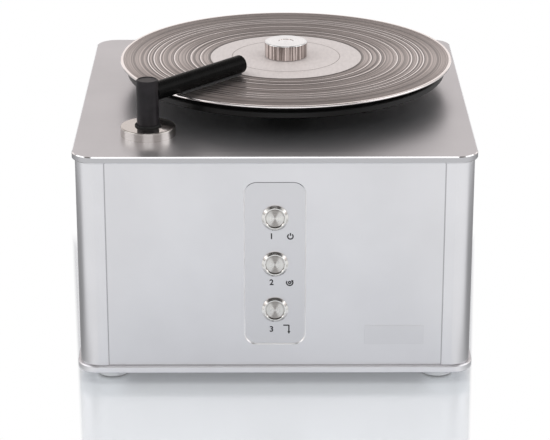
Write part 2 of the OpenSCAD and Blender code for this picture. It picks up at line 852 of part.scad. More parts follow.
module platter() {
  hub_d = 44;
  recess_top = 2.6;
  r = platter_d / 2;
  color(black) translate([spindle_x, spindle_y, 0]) rotate_extrude() polygon([
    [shaft_d / 2, hub_z], [hub_d / 2, hub_z], [hub_d / 2, platter_z + recess_top],
    [r - 14, platter_z + recess_top], [r - 12, platter_z], [r - 0.6, platter_z],
    [r, platter_z + 0.6], [r, platter_z + platter_rim - 0.6],
    [r - 0.6, platter_z + platter_rim], [mat_d / 2, platter_z + platter_rim],
    [mat_d / 2, seat_z], [spindle_d / 2, seat_z],
    [spindle_d / 2, platter_z + platter_rim], [shaft_d / 2, platter_z + platter_rim],
  ]);
  // Ribs under the thin web
  color(black) translate([spindle_x, spindle_y, platter_z])
    round_circle(8, hub_d / 2 - past, 22.5)
      translate([0, -2, 0]) cube([r - 12 - hub_d / 2 + past, 4, recess_top + past]);
}

module platter_mat() {
  sink = 0.7;
  color(soft_black) translate([spindle_x, spindle_y, seat_z]) rotate_extrude() polygon([
    [spindle_d / 2 + clear, 0], [mat_d / 2, 0], [mat_d / 2, mat_t],
    [label_r + 2, mat_t], [label_r + 2, mat_t - sink], [spindle_d / 2 + clear, mat_t - sink],
  ]);
}

// Pressed record: an edge bead, the thin grooved part and the thicker middle, alike on both sides
module record() {
  r = record_d / 2;
  bead = 6;
  color(black) translate([spindle_x, spindle_y, record_mid_z]) rotate_extrude() polygon([
    [spindle_d / 2 + thread_play, -label_t / 2], [label_r - 3, -label_t / 2],
    [label_r, -groove_t / 2], [r - bead, -groove_t / 2], [r - bead + 1.5, -bead_t / 2],
    [r - 0.7, -bead_t / 2], [r, -bead_t / 2 + 0.7], [r, bead_t / 2 - 0.7], [r - 0.7, bead_t / 2],
    [r - bead + 1.5, bead_t / 2], [r - bead, groove_t / 2], [label_r, groove_t / 2],
    [label_r - 3, label_t / 2], [spindle_d / 2 + thread_play, label_t / 2],
  ]);
}

// Turned clamp with a round upper edge, a shallow dish on top, and a skirt round its pad
module record_clamp() {
  r = clamp_d / 2;
  bore_r = spindle_d / 2 + 2 * thread_play;
  dish_r = 6.9;
  dish_depth = 0.4;
  low_bevel = 0.6;
  color(bright) translate([spindle_x, spindle_y, clamp_z]) rotate_extrude() difference() {
    union() {
      translate([0, clear + low_bevel]) square([r, clamp_h - clamp_edge - clear - low_bevel]);
      translate([0, clear]) square([r - clamp_edge, clamp_h - clear]);
      translate([r - clamp_edge, clamp_h - clamp_edge]) circle(clamp_edge);
    }
    translate([-past, 0]) square([r - skirt_w + past, pad_t]);
    translate([-past, 0]) square([bore_r + past, clamp_h - spindle_in_clamp + 1]);
    translate([-past, clamp_h - dish_depth]) square([dish_r + past, dish_depth + past]);
  }
}

module clamp_pad() {
  color(soft_black) translate([spindle_x, spindle_y, clamp_z])
    tube(clamp_d - 2 * skirt_w - 2 * thread_play, spindle_d + 8 * thread_play, pad_t);
}

// Children placed in the drive's own frame: the platter's pulley at the origin, the motor's on +X
module in_drive_frame() {
  translate([spindle_x, spindle_y, 0]) rotate(drive_angle) children();
}

// Toothed pulley with two flanges; a groove lies at the angle phase
module toothed_pulley(teeth, phase, bore_d, hub_d) {
  pitch_r = teeth * belt_pitch / (2 * PI);
  rim_r = pitch_r - back_play;
  difference() {
    union() {
      cylinder(r = pitch_r + flange_over, h = flange_t);
      translate([0, 0, flange_t]) linear_extrude(pulley_face_w) difference() {
        circle(rim_r);
        for (i = [0 : teeth - 1]) rotate(phase + i * 360 / teeth) polygon([
          [rim_r + past, -groove_top_w / 2], [rim_r + past, groove_top_w / 2],
          [rim_r, groove_top_w / 2], [rim_r - groove_cut, groove_floor_w / 2],
          [rim_r - groove_cut, -groove_floor_w / 2], [rim_r, -groove_top_w / 2],
        ]);
      }
      translate([0, 0, flange_t + pulley_face_w]) cylinder(r = pitch_r + flange_over, h = flange_t);
      translate([0, 0, -pulley_boss_h]) cylinder(d = hub_d, h = pulley_boss_h + past);
    }
    translate([0, 0, -pulley_boss_h - past])
      cylinder(d = bore_d, h = pulley_h + pulley_boss_h + 2 * past);
  }
}

module platter_pulley() {
  root_r = big_r - back_play - groove_cut;
  window_d = root_r - big_boss_d / 2 - 2 * spoke;
  color(silver) in_drive_frame() translate([0, 0, pulley_z]) difference() {
    toothed_pulley(big_teeth, leave, shaft_d, big_boss_d);
    translate([0, 0, -past]) round_circle(5, (root_r + big_boss_d / 2) / 2, 0)
      cylinder(d = window_d, h = pulley_h + 2 * past);
  }
}

module motor_pulley() {
  color(silver) in_drive_frame() translate([centres, 0, pulley_z])
    toothed_pulley(small_teeth, small_phase, motor_shaft_d, small_boss_d);
}

// Place of a belt tooth at the length s along the belt: x, y and the direction that it points away from
function belt_place(s) =
  s < big_arc ?
    let (a = leave + s / big_r * 180 / PI) [big_r * cos(a), big_r * sin(a), a]
  : s < big_arc + span_l ?
    let (t = (s - big_arc) / span_l, a = -leave)
    [big_r * cos(a) + t * (centres + (small_r - big_r) * cos(a)),
     big_r * sin(a) + t * (small_r - big_r) * sin(a), a]
  : s < big_arc + span_l + small_arc ?
    let (a = -leave + (s - big_arc - span_l) / small_r * 180 / PI)
    [centres + small_r * cos(a), small_r * sin(a), a]
  : let (t = (s - big_arc - span_l - small_arc) / span_l, a = leave)
    [centres + small_r * cos(a) + t * ((big_r - small_r) * cos(a) - centres),
     small_r * sin(a) + t * (big_r - small_r) * sin(a), a];

// Point of the belt at the length s, off from the pitch line by out and along it by side
function belt_point(s, out, side) =
  let (p = belt_place(s))
  [p[0] + out * cos(p[2]) - side * sin(p[2]), p[1] + out * sin(p[2]) + side * cos(p[2])];

// The belt lies between a smooth line on its back and a toothed line on its inside
module drive_belt() {
  back = [for (i = [0 : 2 * belt_teeth - 1]) belt_point(i * belt_pitch / 2, belt_back, 0)];
  teeth = [
    for (i = [0 : belt_teeth - 1], q = [
      [0, -tooth_root_w / 2], [-belt_tooth_h, -tooth_tip_w / 2],
      [-belt_tooth_h, tooth_tip_w / 2], [0, tooth_root_w / 2],
    ]) belt_point(i * belt_pitch, q[0], q[1])
  ];
  color(black) in_drive_frame() translate([0, 0, belt_z]) linear_extrude(belt_w) difference() {
    polygon(back);
    polygon(teeth);
  }
}

module motor_shaft() {
  color(steel) translate([motor_x, motor_y, shaft_z])
    cylinder(d = motor_shaft_d, h = motor_z + motor_shaft_in - shaft_z);
}

// Flat gear motor: gearbox below, motor can with a round edge above, a terminal block and two tags
module gear_motor() {
  can_r = motor_d / 2 - 3;
  edge = 2;
  color(steel) translate([motor_x, motor_y, motor_z]) difference() {
    union() {
      cylinder(d = motor_d, h = gearbox_h);
      rotate_extrude() polygon([
        [0, 0], [can_r, 0], [can_r, motor_h - edge], [can_r - edge, motor_h], [12, motor_h],
        [11, motor_h - 1], [0, motor_h - 1],
      ]);
      translate([0, 0, -bracket_t]) cylinder(d = motor_pilot_d, h = bracket_t + past);
      translate([can_r - edge, -6, gearbox_h + 2]) cube([5, 12, 8]);
      for (y = [-4, 2.4]) translate([can_r + 2, y, gearbox_h + 5]) cube([6, 1.6, 0.6]);
    }
    translate([0, 0, -bracket_t - past])
      cylinder(d = motor_shaft_d + 2 * run_play, h = bracket_t + motor_shaft_in + 2 * past);
    translate([0, 0, -past]) round_circle(4, motor_screw_r, 0)
      cylinder(d = cap_screw_d + 2 * thread_play, h = past + cap_screw_bite + end_room);
  }
}

module motor_bracket() {
  arm = bracket_w / 2 - bracket_post_inset;
  color(silver) translate([motor_x, motor_y, bracket_z]) difference() {
    linear_extrude(bracket_t) round_rect(bracket_w, bracket_w, 8);
    translate([0, 0, -past]) cylinder(d = motor_pilot_d + 2 * clear, h = bracket_t + 2 * past);
    translate([0, 0, -past]) at_corners(arm, arm)
      cylinder(d = cap_screw_d + 2 * clear, h = bracket_t + 2 * past);
    translate([0, 0, -past]) round_circle(4, motor_screw_r, 0)
      cylinder(d = cap_screw_d + 2 * clear, h = bracket_t + 2 * past);
  }
}

module bracket_posts() {
  arm = bracket_w / 2 - bracket_post_inset;
  color(steel) translate([motor_x, motor_y, motor_z]) at_corners(arm, arm)
    difference() {
      cylinder(d = 9, h = ceiling_z - motor_z, $fn = 6);
      translate([0, 0, -past])
        cylinder(d = cap_screw_d + 2 * thread_play, h = ceiling_z - motor_z + 2 * past);
    }
}

// Socket cap screw whose head's underside is at z = 0 and whose shank runs up
module cap_screw(grip) {
  difference() {
    union() {
      translate([0, 0, -cap_screw_head_h]) cylinder(d = cap_screw_head_d, h = cap_screw_head_h);
      cylinder(d = cap_screw_d, h = grip);
    }
    translate([0, 0, -cap_screw_head_h - past])
      cylinder(d = cap_screw_socket_d, h = past + 2.2, $fn = 6);
  }
}

module cap_screws() {
  arm = bracket_w / 2 - bracket_post_inset;
  color(steel) {
    translate([spindle_x, spindle_y, ceiling_z - housing_flange_t])
      round_circle(4, bearing_screw_r, 45) cap_screw(housing_flange_t + cap_screw_bite);
    translate([motor_x, motor_y, bracket_z]) at_corners(arm, arm)
      cap_screw(ceiling_z - bracket_z + cap_screw_bite);
    translate([motor_x, motor_y, bracket_z]) round_circle(4, motor_screw_r, 0)
      cap_screw(bracket_t + cap_screw_bite);
    translate([arm_x, arm_y, ceiling_z - guide_flange_t])
      round_circle(3, guide_screw_r, 30) cap_screw(guide_flange_t + plate_t + ring_bite);
    translate([turbine_x, turbine_y, turbine_top_z])
      at_ears() mirror([0, 0, 1]) cap_screw(cover_t + cap_screw_bite + 2);
  }
}

// Polished ring with a round upper edge, bored for the bush and, narrower above, for the seal
module arm_base_ring() {
  r = ring_d / 2;
  step_z = bush_top_z + clear - deck_z;
  color(bright) translate([arm_x, arm_y, deck_z]) difference() {
    rotate_extrude() {
      translate([seal_d / 2, 0]) square([r - ring_edge - seal_d / 2, ring_h]);
      translate([seal_d / 2, 0]) square([r - seal_d / 2, ring_h - ring_edge]);
      translate([r - ring_edge, ring_h - ring_edge]) circle(ring_edge);
    }
    translate([0, 0, -past]) cylinder(d = bush_d + 2 * clear, h = step_z + past);
    translate([0, 0, -past]) round_circle(3, guide_screw_r, 30)
      cylinder(d = cap_screw_d + 2 * thread_play, h = ring_bite + end_room + past);
  }
}

// Fixed tube under the top plate that the swivel bush turns in, with a hose tail below
module arm_guide() {
  tail_bore = thin_tail_d - 2 * tail_wall;
  color(steel) translate([arm_x, arm_y, 0]) difference() {
    union() {
      translate([0, 0, guide_z]) cylinder(d = guide_d, h = ceiling_z - guide_z);
      translate([0, 0, ceiling_z - guide_flange_t])
        cylinder(d = guide_flange_d, h = guide_flange_t);
      translate([0, 0, guide_tail_z]) cylinder(d = thin_tail_d, h = guide_z - guide_tail_z + past);
    }
    translate([0, 0, guide_floor_z])
      cylinder(d = bush_d + 2 * run_play, h = ceiling_z - guide_floor_z + past);
    translate([0, 0, guide_tail_z - past])
      cylinder(d = tail_bore, h = guide_floor_z - guide_tail_z + 2 * past);
    translate([0, 0, ceiling_z - guide_flange_t - past]) round_circle(3, guide_screw_r, 30)
      cylinder(d = cap_screw_d + 2 * clear, h = guide_flange_t + 2 * past);
  }
}

module post_seal() {
  inner_r = arm_post_d / 2 + clear;
  z = bush_top_z + clear - deck_z;
  top = ring_h + 1.5;
  bevel = 0.6;
  color(soft_black) translate([arm_x, arm_y, deck_z]) rotate_extrude() polygon([
    [inner_r, z], [seal_d / 2, z], [seal_d / 2, top - bevel], [seal_d / 2 - bevel, top],
    [inner_r, top],
  ]);
}

module swivel_bush() {
  color(bronze) translate([arm_x, arm_y, bush_z])
    tube(bush_d, arm_post_d + 2 * run_play, bush_top_z - bush_z);
}

// Hollow post, closed on top, with a side hole for the arm's tube
module arm_post() {
  r = arm_post_d / 2;
  bevel = 0.8;
  rim = 1.6;
  dish = 0.5;
  top_t = 3;
  color(black) translate([arm_x, arm_y, 0]) difference() {
    rotate_extrude() polygon([
      [post_bore_r, collar_z], [r, collar_z], [r, arm_post_top_z - bevel],
      [r - bevel, arm_post_top_z], [r - rim, arm_post_top_z],
      [r - rim - dish, arm_post_top_z - dish], [0, arm_post_top_z - dish],
      [0, arm_post_top_z - dish - top_t], [post_bore_r, arm_post_top_z - dish - top_t],
    ]);
    translate([0, 0, arm_z]) rotate(arm_angle) rotate([0, 90, 0])
      cylinder(d = arm_tube_d, h = arm_post_d);
  }
}

module stop_collar() {
  color(steel) translate([arm_x, arm_y, collar_z])
    tube(bush_d - 2, arm_post_d, collar_h);
}

// Children in the arm's own frame: the post's axis at the origin, the tube along +X
module in_arm_frame() {
  translate([arm_x, arm_y, arm_z]) rotate(arm_angle) children();
}

module arm_tube() {
  bore_d = arm_tube_d - 2 * arm_wall;
  color(black) in_arm_frame() difference() {
    translate([post_bore_r, 0, 0]) rotate([0, 90, 0])
      cylinder(d = arm_tube_d, h = arm_reach - end_cap_t - post_bore_r);
    translate([post_bore_r - past, 0, 0]) rotate([0, 90, 0])
      cylinder(d = bore_d, h = arm_reach + past);
    translate([slot_start, -slot_w / 2, -arm_tube_d / 2 - past])
      cube([slot_end - slot_start, slot_w, arm_wall + 2 * past]);
  }
}

module arm_end_cap() {
  r = arm_tube_d / 2;
  bevel = 0.7;
  plug_l = 4;
  color(black) in_arm_frame() translate([arm_reach - end_cap_t, 0, 0]) rotate([0, 90, 0])
    rotate_extrude() polygon([
      [0, -plug_l], [r - arm_wall, -plug_l], [r - arm_wall, 0], [r, 0],
      [r, end_cap_t - bevel], [r - bevel, end_cap_t], [0, end_cap_t],
    ]);
}

// Two velvet strips, one on each side of the slot, hollowed to the tube
module velvet_lips() {
  strip_w = 3;
  color(soft_black) in_arm_frame() difference() {
    for (s = [0, 1]) mirror([0, s, 0])
      translate([slot_start - 3, slot_w / 2, -arm_tube_d / 2 - lip_t])
        cube([slot_end - slot_start + 6, strip_w, lip_t + 1.6]);
    rotate([0, 90, 0]) cylinder(d = arm_tube_d, h = arm_reach + past);
  }
}

module suction_hose() {
  color(soft_black) translate([arm_x, arm_y, lid_top_z + 2])
    tube(thin_tail_d + 2 * hose_wall, thin_tail_d + 2 * thread_play, guide_z - 3 - lid_top_z - 2);
}

// Moulded tank with an open top, a stiff rim and a drain tail at the rear
module waste_tank() {
  rim_h = 4;
  color(white_plastic) translate([tank_x, tank_y, floor_z]) difference() {
    union() {
      linear_extrude(tank_h) round_rect(tank_w, tank_d, tank_r);
      translate([0, 0, tank_h - rim_h]) linear_extrude(rim_h)
        round_rect(tank_w + 2 * tank_rim_w, tank_d + 2 * tank_rim_w, tank_r + tank_rim_w);
      translate([0, tank_d / 2 + tail_l, tap_mid]) rotate([90, 0, 0])
        cylinder(d = drain_d, h = tail_l + past);
    }
    translate([0, 0, tank_wall]) linear_extrude(tank_h)
      round_rect(tank_w - 2 * tank_wall, tank_d - 2 * tank_wall, tank_r - tank_wall);
    translate([0, tank_d / 2 + tail_l + past, tap_mid]) rotate([90, 0, 0])
      cylinder(d = drain_d - 2 * tail_wall, h = tail_l + tank_wall + 2 * past);
  }
}

module tank_lid() {
  lid_gap = 0.25;
  bore_h = tail_l + lid_t + lid_plug_h + 2 * past;
  color(white_plastic) difference() {
    union() {
      translate([tank_x, tank_y, tank_top_z]) linear_extrude(lid_t)
        round_rect(tank_w + 2 * tank_rim_w, tank_d + 2 * tank_rim_w, tank_r + tank_rim_w);
      translate([tank_x, tank_y, tank_top_z - lid_plug_h]) linear_extrude(lid_plug_h + past)
        round_rect(tank_w - 2 * tank_wall - 2 * lid_gap, tank_d - 2 * tank_wall - 2 * lid_gap,
                   tank_r - tank_wall - lid_gap);
      translate([arm_x, arm_y, lid_top_z - past])
        cylinder(d = thin_tail_d, h = min(tail_l, guide_tail_z - lid_top_z - 1) + past);
      translate([lid_outlet_x, turbine_y, lid_top_z - past])
        cylinder(d = wide_tail_d, h = tail_l + past);
    }
    translate([arm_x, arm_y, tank_top_z - lid_plug_h - past])
      cylinder(d = thin_tail_d - 2 * tail_wall, h = bore_h);
    translate([lid_outlet_x, turbine_y, tank_top_z - lid_plug_h - past])
      cylinder(d = wide_tail_d - 2 * tail_wall, h = bore_h);
  }
}

// Quarter bend of a pipe, from straight down at the origin to along +X
module pipe_bend(outer_d, inner_d, r) {
  translate([r, 0, 0]) rotate([90, 0, 0]) rotate([0, 0, 90]) rotate_extrude(angle = 90)
    translate([r, 0]) difference() {
      circle(d = outer_d);
      circle(d = inner_d);
    }
}

// Wide hose: up from the tank's lid, over in an arch, and down into the turbine's cover
module vacuum_hose() {
  outer = wide_tail_d + 2 * hose_wall;
  inner = wide_tail_d + 2 * thread_play;
  run = turbine_x - lid_outlet_x - 2 * hose_bend;
  start_z = lid_top_z + 2;
  end_z = turbine_top_z + 2;
  color(soft_black) translate([lid_outlet_x, turbine_y, 0]) {
    translate([0, 0, start_z]) tube(outer, inner, hose_z - hose_bend - start_z);
    translate([0, 0, hose_z - hose_bend]) pipe_bend(outer, inner, hose_bend);
    translate([hose_bend, 0, hose_z]) rotate([0, 90, 0]) tube(outer, inner, run);
    translate([2 * hose_bend + run, 0, hose_z - hose_bend]) mirror([1, 0, 0])
      pipe_bend(outer, inner, hose_bend);
    translate([2 * hose_bend + run, 0, end_z]) tube(outer, inner, hose_z - hose_bend - end_z);
  }
}

// Children at the three screws that hold the turbine's cover, clear of the outlet
module at_ears() {
  round_circle(3, ear_r, 60) children();
}

// Plan of one ear with the web that joins it to the drum
module ear_plan() {
  web_l = ear_r - turbine_d / 2 + 1;
  circle(d = ear_d);
  translate([-web_l, -ear_d / 2]) square([web_l, ear_d]);
}

// Plan of the turbine housing: a drum and a straight outlet that leaves it at a tangent
module turbine_plan(inset) {
  r = turbine_d / 2 - inset;
  circle(r);
  translate([-r, 0])
    square([outlet_w - 2 * inset, rear_inner_y - turbine_y + (inset > 0 ? past : 0)]);
}

// Moulded drum with ears for the cover's screws and a hole for the shaft
module turbine_housing() {
  shaft_hole_d = fan_shaft_d + 8;
  h = turbine_h - cover_t;
  color(soft_black) translate([turbine_x, turbine_y, turbine_z]) difference() {
    union() {
      linear_extrude(h) turbine_plan(0);
      translate([0, 0, h - ear_h]) linear_extrude(ear_h) at_ears() ear_plan();
    }
    translate([0, 0, turbine_wall]) linear_extrude(turbine_h) turbine_plan(turbine_wall);
    translate([0, 0, -past]) cylinder(d = shaft_hole_d, h = turbine_wall + 2 * past);
    translate([0, 0, h - cap_screw_bite - 2 - end_room]) at_ears()
      cylinder(d = cap_screw_d + 2 * thread_play, h = turbine_h);
  }
}

// Cover with the inlet's tail in its middle, eight low ribs and ears for its screws
module turbine_cover() {
  rib_h = 1.6;
  rib_w = 2;
  collar_w = 5;
  color(soft_black) translate([turbine_x, turbine_y, turbine_top_z - cover_t]) difference() {
    union() {
      linear_extrude(cover_t) turbine_plan(0);
      linear_extrude(cover_t) at_ears() ear_plan();
      cylinder(d = wide_tail_d, h = cover_t + tail_l);
      cylinder(d = wide_tail_d + 2 * collar_w, h = cover_t + rib_h);
      linear_extrude(cover_t + rib_h) round_circle(8, 0, 22.5)
        translate([0, -rib_w / 2]) square([turbine_d / 2 - 6, rib_w]);
    }
    translate([0, 0, -past])
      cylinder(d = wide_tail_d - 2 * tail_wall, h = cover_t + tail_l + 2 * past);
    translate([0, 0, -past]) at_ears()
      cylinder(d = cap_screw_d + 2 * thread_play, h = cover_t + 2 * past);
  }
}

// One backward curved blade: a strip of a ring between the eye and the rim
module impeller_blade() {
  blade_t = 1.6;
  intersection() {
    difference() {
      circle(d = impeller_d - 1);
      circle(d = eye_d + 1);
    }
    translate([eye_d / 2, blade_bend_r]) difference() {
      circle(blade_bend_r + blade_t / 2);
      circle(blade_bend_r - blade_t / 2);
    }
    translate([0, -2]) square([impeller_d, impeller_d / 2]);
  }
}

// Closed wheel: a back plate, curved blades and a front ring with the eye
module impeller() {
  plate = impeller_plate_t;
  color(silver) translate([turbine_x, turbine_y, impeller_z]) difference() {
    union() {
      cylinder(d = impeller_d, h = plate);
      cylinder(d = impeller_hub_d, h = impeller_hub_h);
      for (i = [0 : impeller_blades - 1])
        rotate(i * 360 / impeller_blades) translate([0, 0, plate / 2])
          linear_extrude(impeller_h - plate) impeller_blade();
      translate([0, 0, impeller_h - plate]) tube(impeller_d, eye_d, plate);
    }
    translate([0, 0, -past]) cylinder(d = fan_shaft_d, h = impeller_h + 2 * past);
  }
}

module fan_shaft() {
  from_z = vac_motor_z + vac_motor_h - fan_shaft_in;
  color(steel) translate([turbine_x, turbine_y, from_z])
    cylinder(d = fan_shaft_d, h = impeller_z + impeller_hub_h + 1.8 - from_z);
}

// Motor of the turbine: a can with two end bells, cooling ribs and a flange under the housing
module vacuum_motor() {
  r = vac_motor_d / 2;
  neck_d = 40;
  rib_t = 2;
  rib_pitch = 5;
  color(steel) translate([turbine_x, turbine_y, vac_motor_z]) difference() {
    union() {
      rotate_extrude() polygon([
        [0, 0], [r - 12, 0], [r - 4, 5], [r - 4, vac_motor_h - 5], [r - 10, vac_motor_h],
        [0, vac_motor_h],
      ]);
      for (z = [2 * rib_pitch : rib_pitch : vac_motor_h - 12])
        translate([0, 0, z]) cylinder(r = r, h = rib_t);
      translate([0, 0, vac_motor_h - past]) cylinder(d = neck_d, h = motor_neck_h + past);
    }
    translate([0, 0, vac_motor_h - fan_shaft_in - past])
      cylinder(d = fan_shaft_d + 2 * run_play, h = vac_motor_h);
  }
}

module motor_mounts() {
  color(soft_black) translate([turbine_x, turbine_y, floor_z])
    round_circle(3, vac_motor_d / 2 - 22, 90) cylinder(d = 16, h = mount_h);
}

module drain_hose() {
  from_y = tank_rear_y + 2;
  to_y = rear_inner_y - 4;
  color(soft_black) translate([tap_x, to_y, tap_z]) rotate([90, 0, 0])
    tube(drain_d + 2 * hose_wall, drain_d + 2 * thread_play, to_y - from_y);
}

// Drain tap: a tail inside the case, a barrel outside it, and an open hose tail that points back
module drain_tap() {
  inner_l = 24;
  color(bright) translate([tap_x, 0, tap_z]) difference() {
    union() {
      translate([0, rear_inner_y, 0]) rotate([90, 0, 0]) cylinder(d = drain_d, h = inner_l);
      translate([0, rear_face_y, 0]) rotate([90, 0, 0])
        cylinder(d = tap_thread_d, h = panel_t + 0.5);
      translate([0, rear_face_y + tap_flange_t, 0]) rotate([90, 0, 0])
        cylinder(d = tap_d + 4, h = tap_flange_t);
      translate([0, rear_face_y + tap_l, 0]) rotate([90, 0, 0]) cylinder(d = tap_d, h = tap_l - 1);
      translate([0, tap_plug_y, 0]) cylinder(d = tap_plug_d + 5, h = tap_d / 2 + 3);
      translate([0, tap_end_y, 0]) rotate([90, 0, 0])
        cylinder(d = tap_tail_d, h = tap_tail_l + past);
    }
    translate([0, tap_end_y + past, 0]) rotate([90, 0, 0])
      cylinder(d = tap_bore_d, h = inner_l + tap_l + tap_tail_l + panel_t + 3 * past);
    translate([0, tap_plug_y, -tap_plug_d / 2 - 1])
      cylinder(d = tap_plug_d + 2 * run_play, h = tap_d + 10);
  }
}

// Plug with a cross bore, its stem and the lever. At rest the lever lies across: the tap is shut.
module tap_lever() {
  lever_l = 30;
  top = tap_d / 2 + 3.3;
  color(soft_black) translate([tap_x, tap_plug_y, tap_z]) difference() {
    union() {
      translate([0, 0, -tap_plug_d / 2 - 0.7]) cylinder(d = tap_plug_d, h = top + tap_plug_d / 2 + 0.7);
      translate([0, 0, top]) cylinder(d = tap_plug_d + 5, h = 4.5);
      translate([0, 0, top]) linear_extrude(4.5) {
        translate([0, -4]) square([lever_l - 4, 8]);
        translate([lever_l - 4, 0]) circle(4);
      }
    }
    rotate([0, 90, 0]) cylinder(d = tap_bore_d, h = 2 * tap_plug_d, center = true);
  }
}

// Section of the mains socket: a rectangle with its two lower corners cut off
module socket_section(inset) {
  w = socket_w - 2 * inset;
  h = socket_h - 2 * inset;
  cut = 4.5;
  polygon([
    [-w / 2, h / 2], [w / 2, h / 2], [w / 2, -h / 2 + cut], [w / 2 - cut, -h / 2],
    [-w / 2 + cut, -h / 2], [-w / 2, -h / 2 + cut],
  ]);
}

// Children with their z axis pointing out of the rear, at the panel's face and the inlet's middle
module at_inlet() {
  translate([inlet_x, rear_face_y, inlet_z]) rotate([-90, 0, 0]) rotate(180) children();
}

module mains_inlet() {
  blade_w = 4;
  blade_t = 2;
  color(black) at_inlet() {
    difference() {
      union() {
        linear_extrude(inlet_t) round_rect(inlet_w, inlet_h, 4);
        translate([0, 0, -inlet_depth]) linear_extrude(inlet_depth + past)
          square([inlet_body_w, inlet_body_h], center = true);
      }
      translate([0, socket_up, inlet_t - socket_depth]) linear_extrude(socket_depth + past)
        socket_section(0);
      translate([-drawer_w / 2, -drawer_down - drawer_h / 2, inlet_t - drawer_depth])
        cube([drawer_w, drawer_h, drawer_depth + past]);
      for (s = [-1, 1]) translate([0, s * inlet_screw_pitch / 2, -past])
        cylinder(d = small_screw_d + 0.4, h = inlet_t + 2 * past);
    }
    for (p = [[-7, -2], [7, -2], [0, 3.4]])
      translate([p[0] - blade_t / 2, socket_up + p[1] - blade_w / 2, inlet_t - socket_depth - past])
        cube([blade_t, blade_w, 13 + past]);
    for (x = [-7, 0, 7]) translate([x - 0.4, 2, -inlet_depth - 7]) cube([0.8, 6, 8]);
  }
}

module inlet_screws() {
  color(steel) at_inlet() for (s = [-1, 1]) translate([0, s * inlet_screw_pitch / 2, 0]) {
    translate([0, 0, inlet_t]) cylinder(d = 5.4, h = 1.6);
    translate([0, 0, -panel_t - 2]) cylinder(d = small_screw_d, h = panel_t + 2 + inlet_t + past);
  }
}

// Drawer that holds the fuse across its inner end, with a pull edge on its front
module fuse_drawer() {
  w = drawer_w - 2 * drawer_gap;
  h = drawer_h - 2 * drawer_gap;
  l = drawer_depth - 1;
  color(soft_black) at_inlet() translate([0, -drawer_down, inlet_t]) {
    difference() {
      translate([-w / 2, -h / 2, -l]) cube([w, h, l + 0.2]);
      translate([-w / 2 + 1, -h / 2 + 1.2, -l + 1.6]) cube([w - 2, h, 8]);
    }
    translate([-w / 2 - 0.8, -h / 2 - 0.6, 0.2]) cube([w + 1.6, h + 1.2, 1.6]);
    translate([-5, h / 2 - 1.2, 1.6]) cube([10, 1.6, 2]);
  }
}

module fuse() {
  l = drawer_depth - 1;
  fuse_l = drawer_w - 2 * drawer_gap - 2.2;
  z = -l + 1.6 + 4;
  bed = -(drawer_h - 2 * drawer_gap) / 2 + 1.2;
  color(bright) at_inlet() translate([0, -drawer_down + bed + 2.65, inlet_t + z])
    rotate([0, 90, 0]) translate([0, 0, -fuse_l / 2]) {
      cylinder(d = 4.4, h = fuse_l);
      for (e = [0, fuse_l - 5]) translate([0, 0, e]) cylinder(d = 5.2, h = 5);
    }
}

// Transformer: an iron core with its coil through it
module transformer() {
  cube([36, 30, 26]);
  translate([6, -3, 4]) cube([24, 36, 18]);
}

// Cooler of the motor's transistors: a back plate with upright fins
module cooler() {
  cube([2.4, 28, 24]);
  for (i = [0 : 5]) translate([0, i * 5.3, 0]) cube([13, 1.5, 24]);
}

// Row of six screw terminals, each open to the front and above its screw
module terminal_row() {
  difference() {
    cube([42, 9, 11]);
    for (i = [0 : 5]) translate([3.5 + i * 7, 0, 0]) {
      translate([0, 4, 3.6]) rotate([90, 0, 0]) cylinder(d = 4, h = 4 + past);
      translate([0, 4.5, 7]) cylinder(d = 4.4, h = 4 + past);
    }
  }
}

// Circuit board with its transformer, relays, capacitors, cooler and terminals
module control_board() {
  root = 0.1;
  color(board_green) translate([board_x, board_y, board_z]) {
    difference() {
      translate([-board_w / 2, -board_d / 2, 0]) cube([board_w, board_d, board_t]);
      translate([0, 0, -past]) at_corners(board_w / 2 - board_inset, board_d / 2 - board_inset)
        cylinder(d = small_screw_d + 0.4, h = board_t + 2 * past);
    }
    translate([0, 0, board_t - root]) {
      translate([-43, -8, 0]) transformer();
      for (i = [0 : 2]) translate([6 + i * 15, -30, 0]) cube([12, 24, 16]);
      for (i = [0 : 1]) translate([6 + i * 20, 22, 0]) cylinder(d = 16, h = 28);
      translate([38, -1, 0]) cooler();
      translate([-44, -33, 0]) terminal_row();
    }
  }
}

module board_spacers() {
  color(bronze) translate([board_x, board_y, floor_z])
    at_corners(board_w / 2 - board_inset, board_d / 2 - board_inset) {
      cylinder(d = 7, h = spacer_h, $fn = 6);
      cylinder(d = small_screw_d, h = spacer_h + board_t + 1);
      translate([0, 0, spacer_h + board_t]) cylinder(d = 6, h = 2);
    }
}

// Moves a piece from the case's middle to its place round the origin
module placed() {
  translate([0, -case_shift, 0]) children();
}

placed() top_plate();
placed() bottom_plate();
placed() corner_posts();
placed() front_panel();
placed() rear_panel();
placed() left_panel();
placed() right_panel();
placed() tie_rods();
placed() feet();
placed() foot_screws();
placed() switch_barrels();
placed() switch_nuts();
placed() upper_button();
placed() middle_button();
placed() lower_button();
placed() bearing_housing();
placed() bearing_bushes();
placed() thrust_washer();
placed() platter_shaft();
placed() platter();
placed() platter_mat();
placed() record();
placed() record_clamp();
placed() clamp_pad();
placed() platter_pulley();
placed() drive_belt();
placed() motor_pulley();
placed() motor_shaft();
placed() gear_motor();
placed() motor_bracket();
placed() bracket_posts();
placed() cap_screws();
placed() arm_base_ring();
placed() arm_guide();
placed() post_seal();
placed() swivel_bush();
placed() arm_post();
placed() stop_collar();
placed() arm_tube();
placed() arm_end_cap();
placed() velvet_lips();
placed() suction_hose();
placed() waste_tank();
placed() tank_lid();
placed() vacuum_hose();
placed() turbine_housing();
placed() turbine_cover();
placed() impeller();
placed() fan_shaft();
placed() vacuum_motor();
placed() motor_mounts();
placed() drain_hose();
placed() drain_tap();
placed() tap_lever();
placed() mains_inlet();
placed() inlet_screws();
placed() fuse_drawer();
placed() fuse();
placed() control_board();
placed() board_spacers();
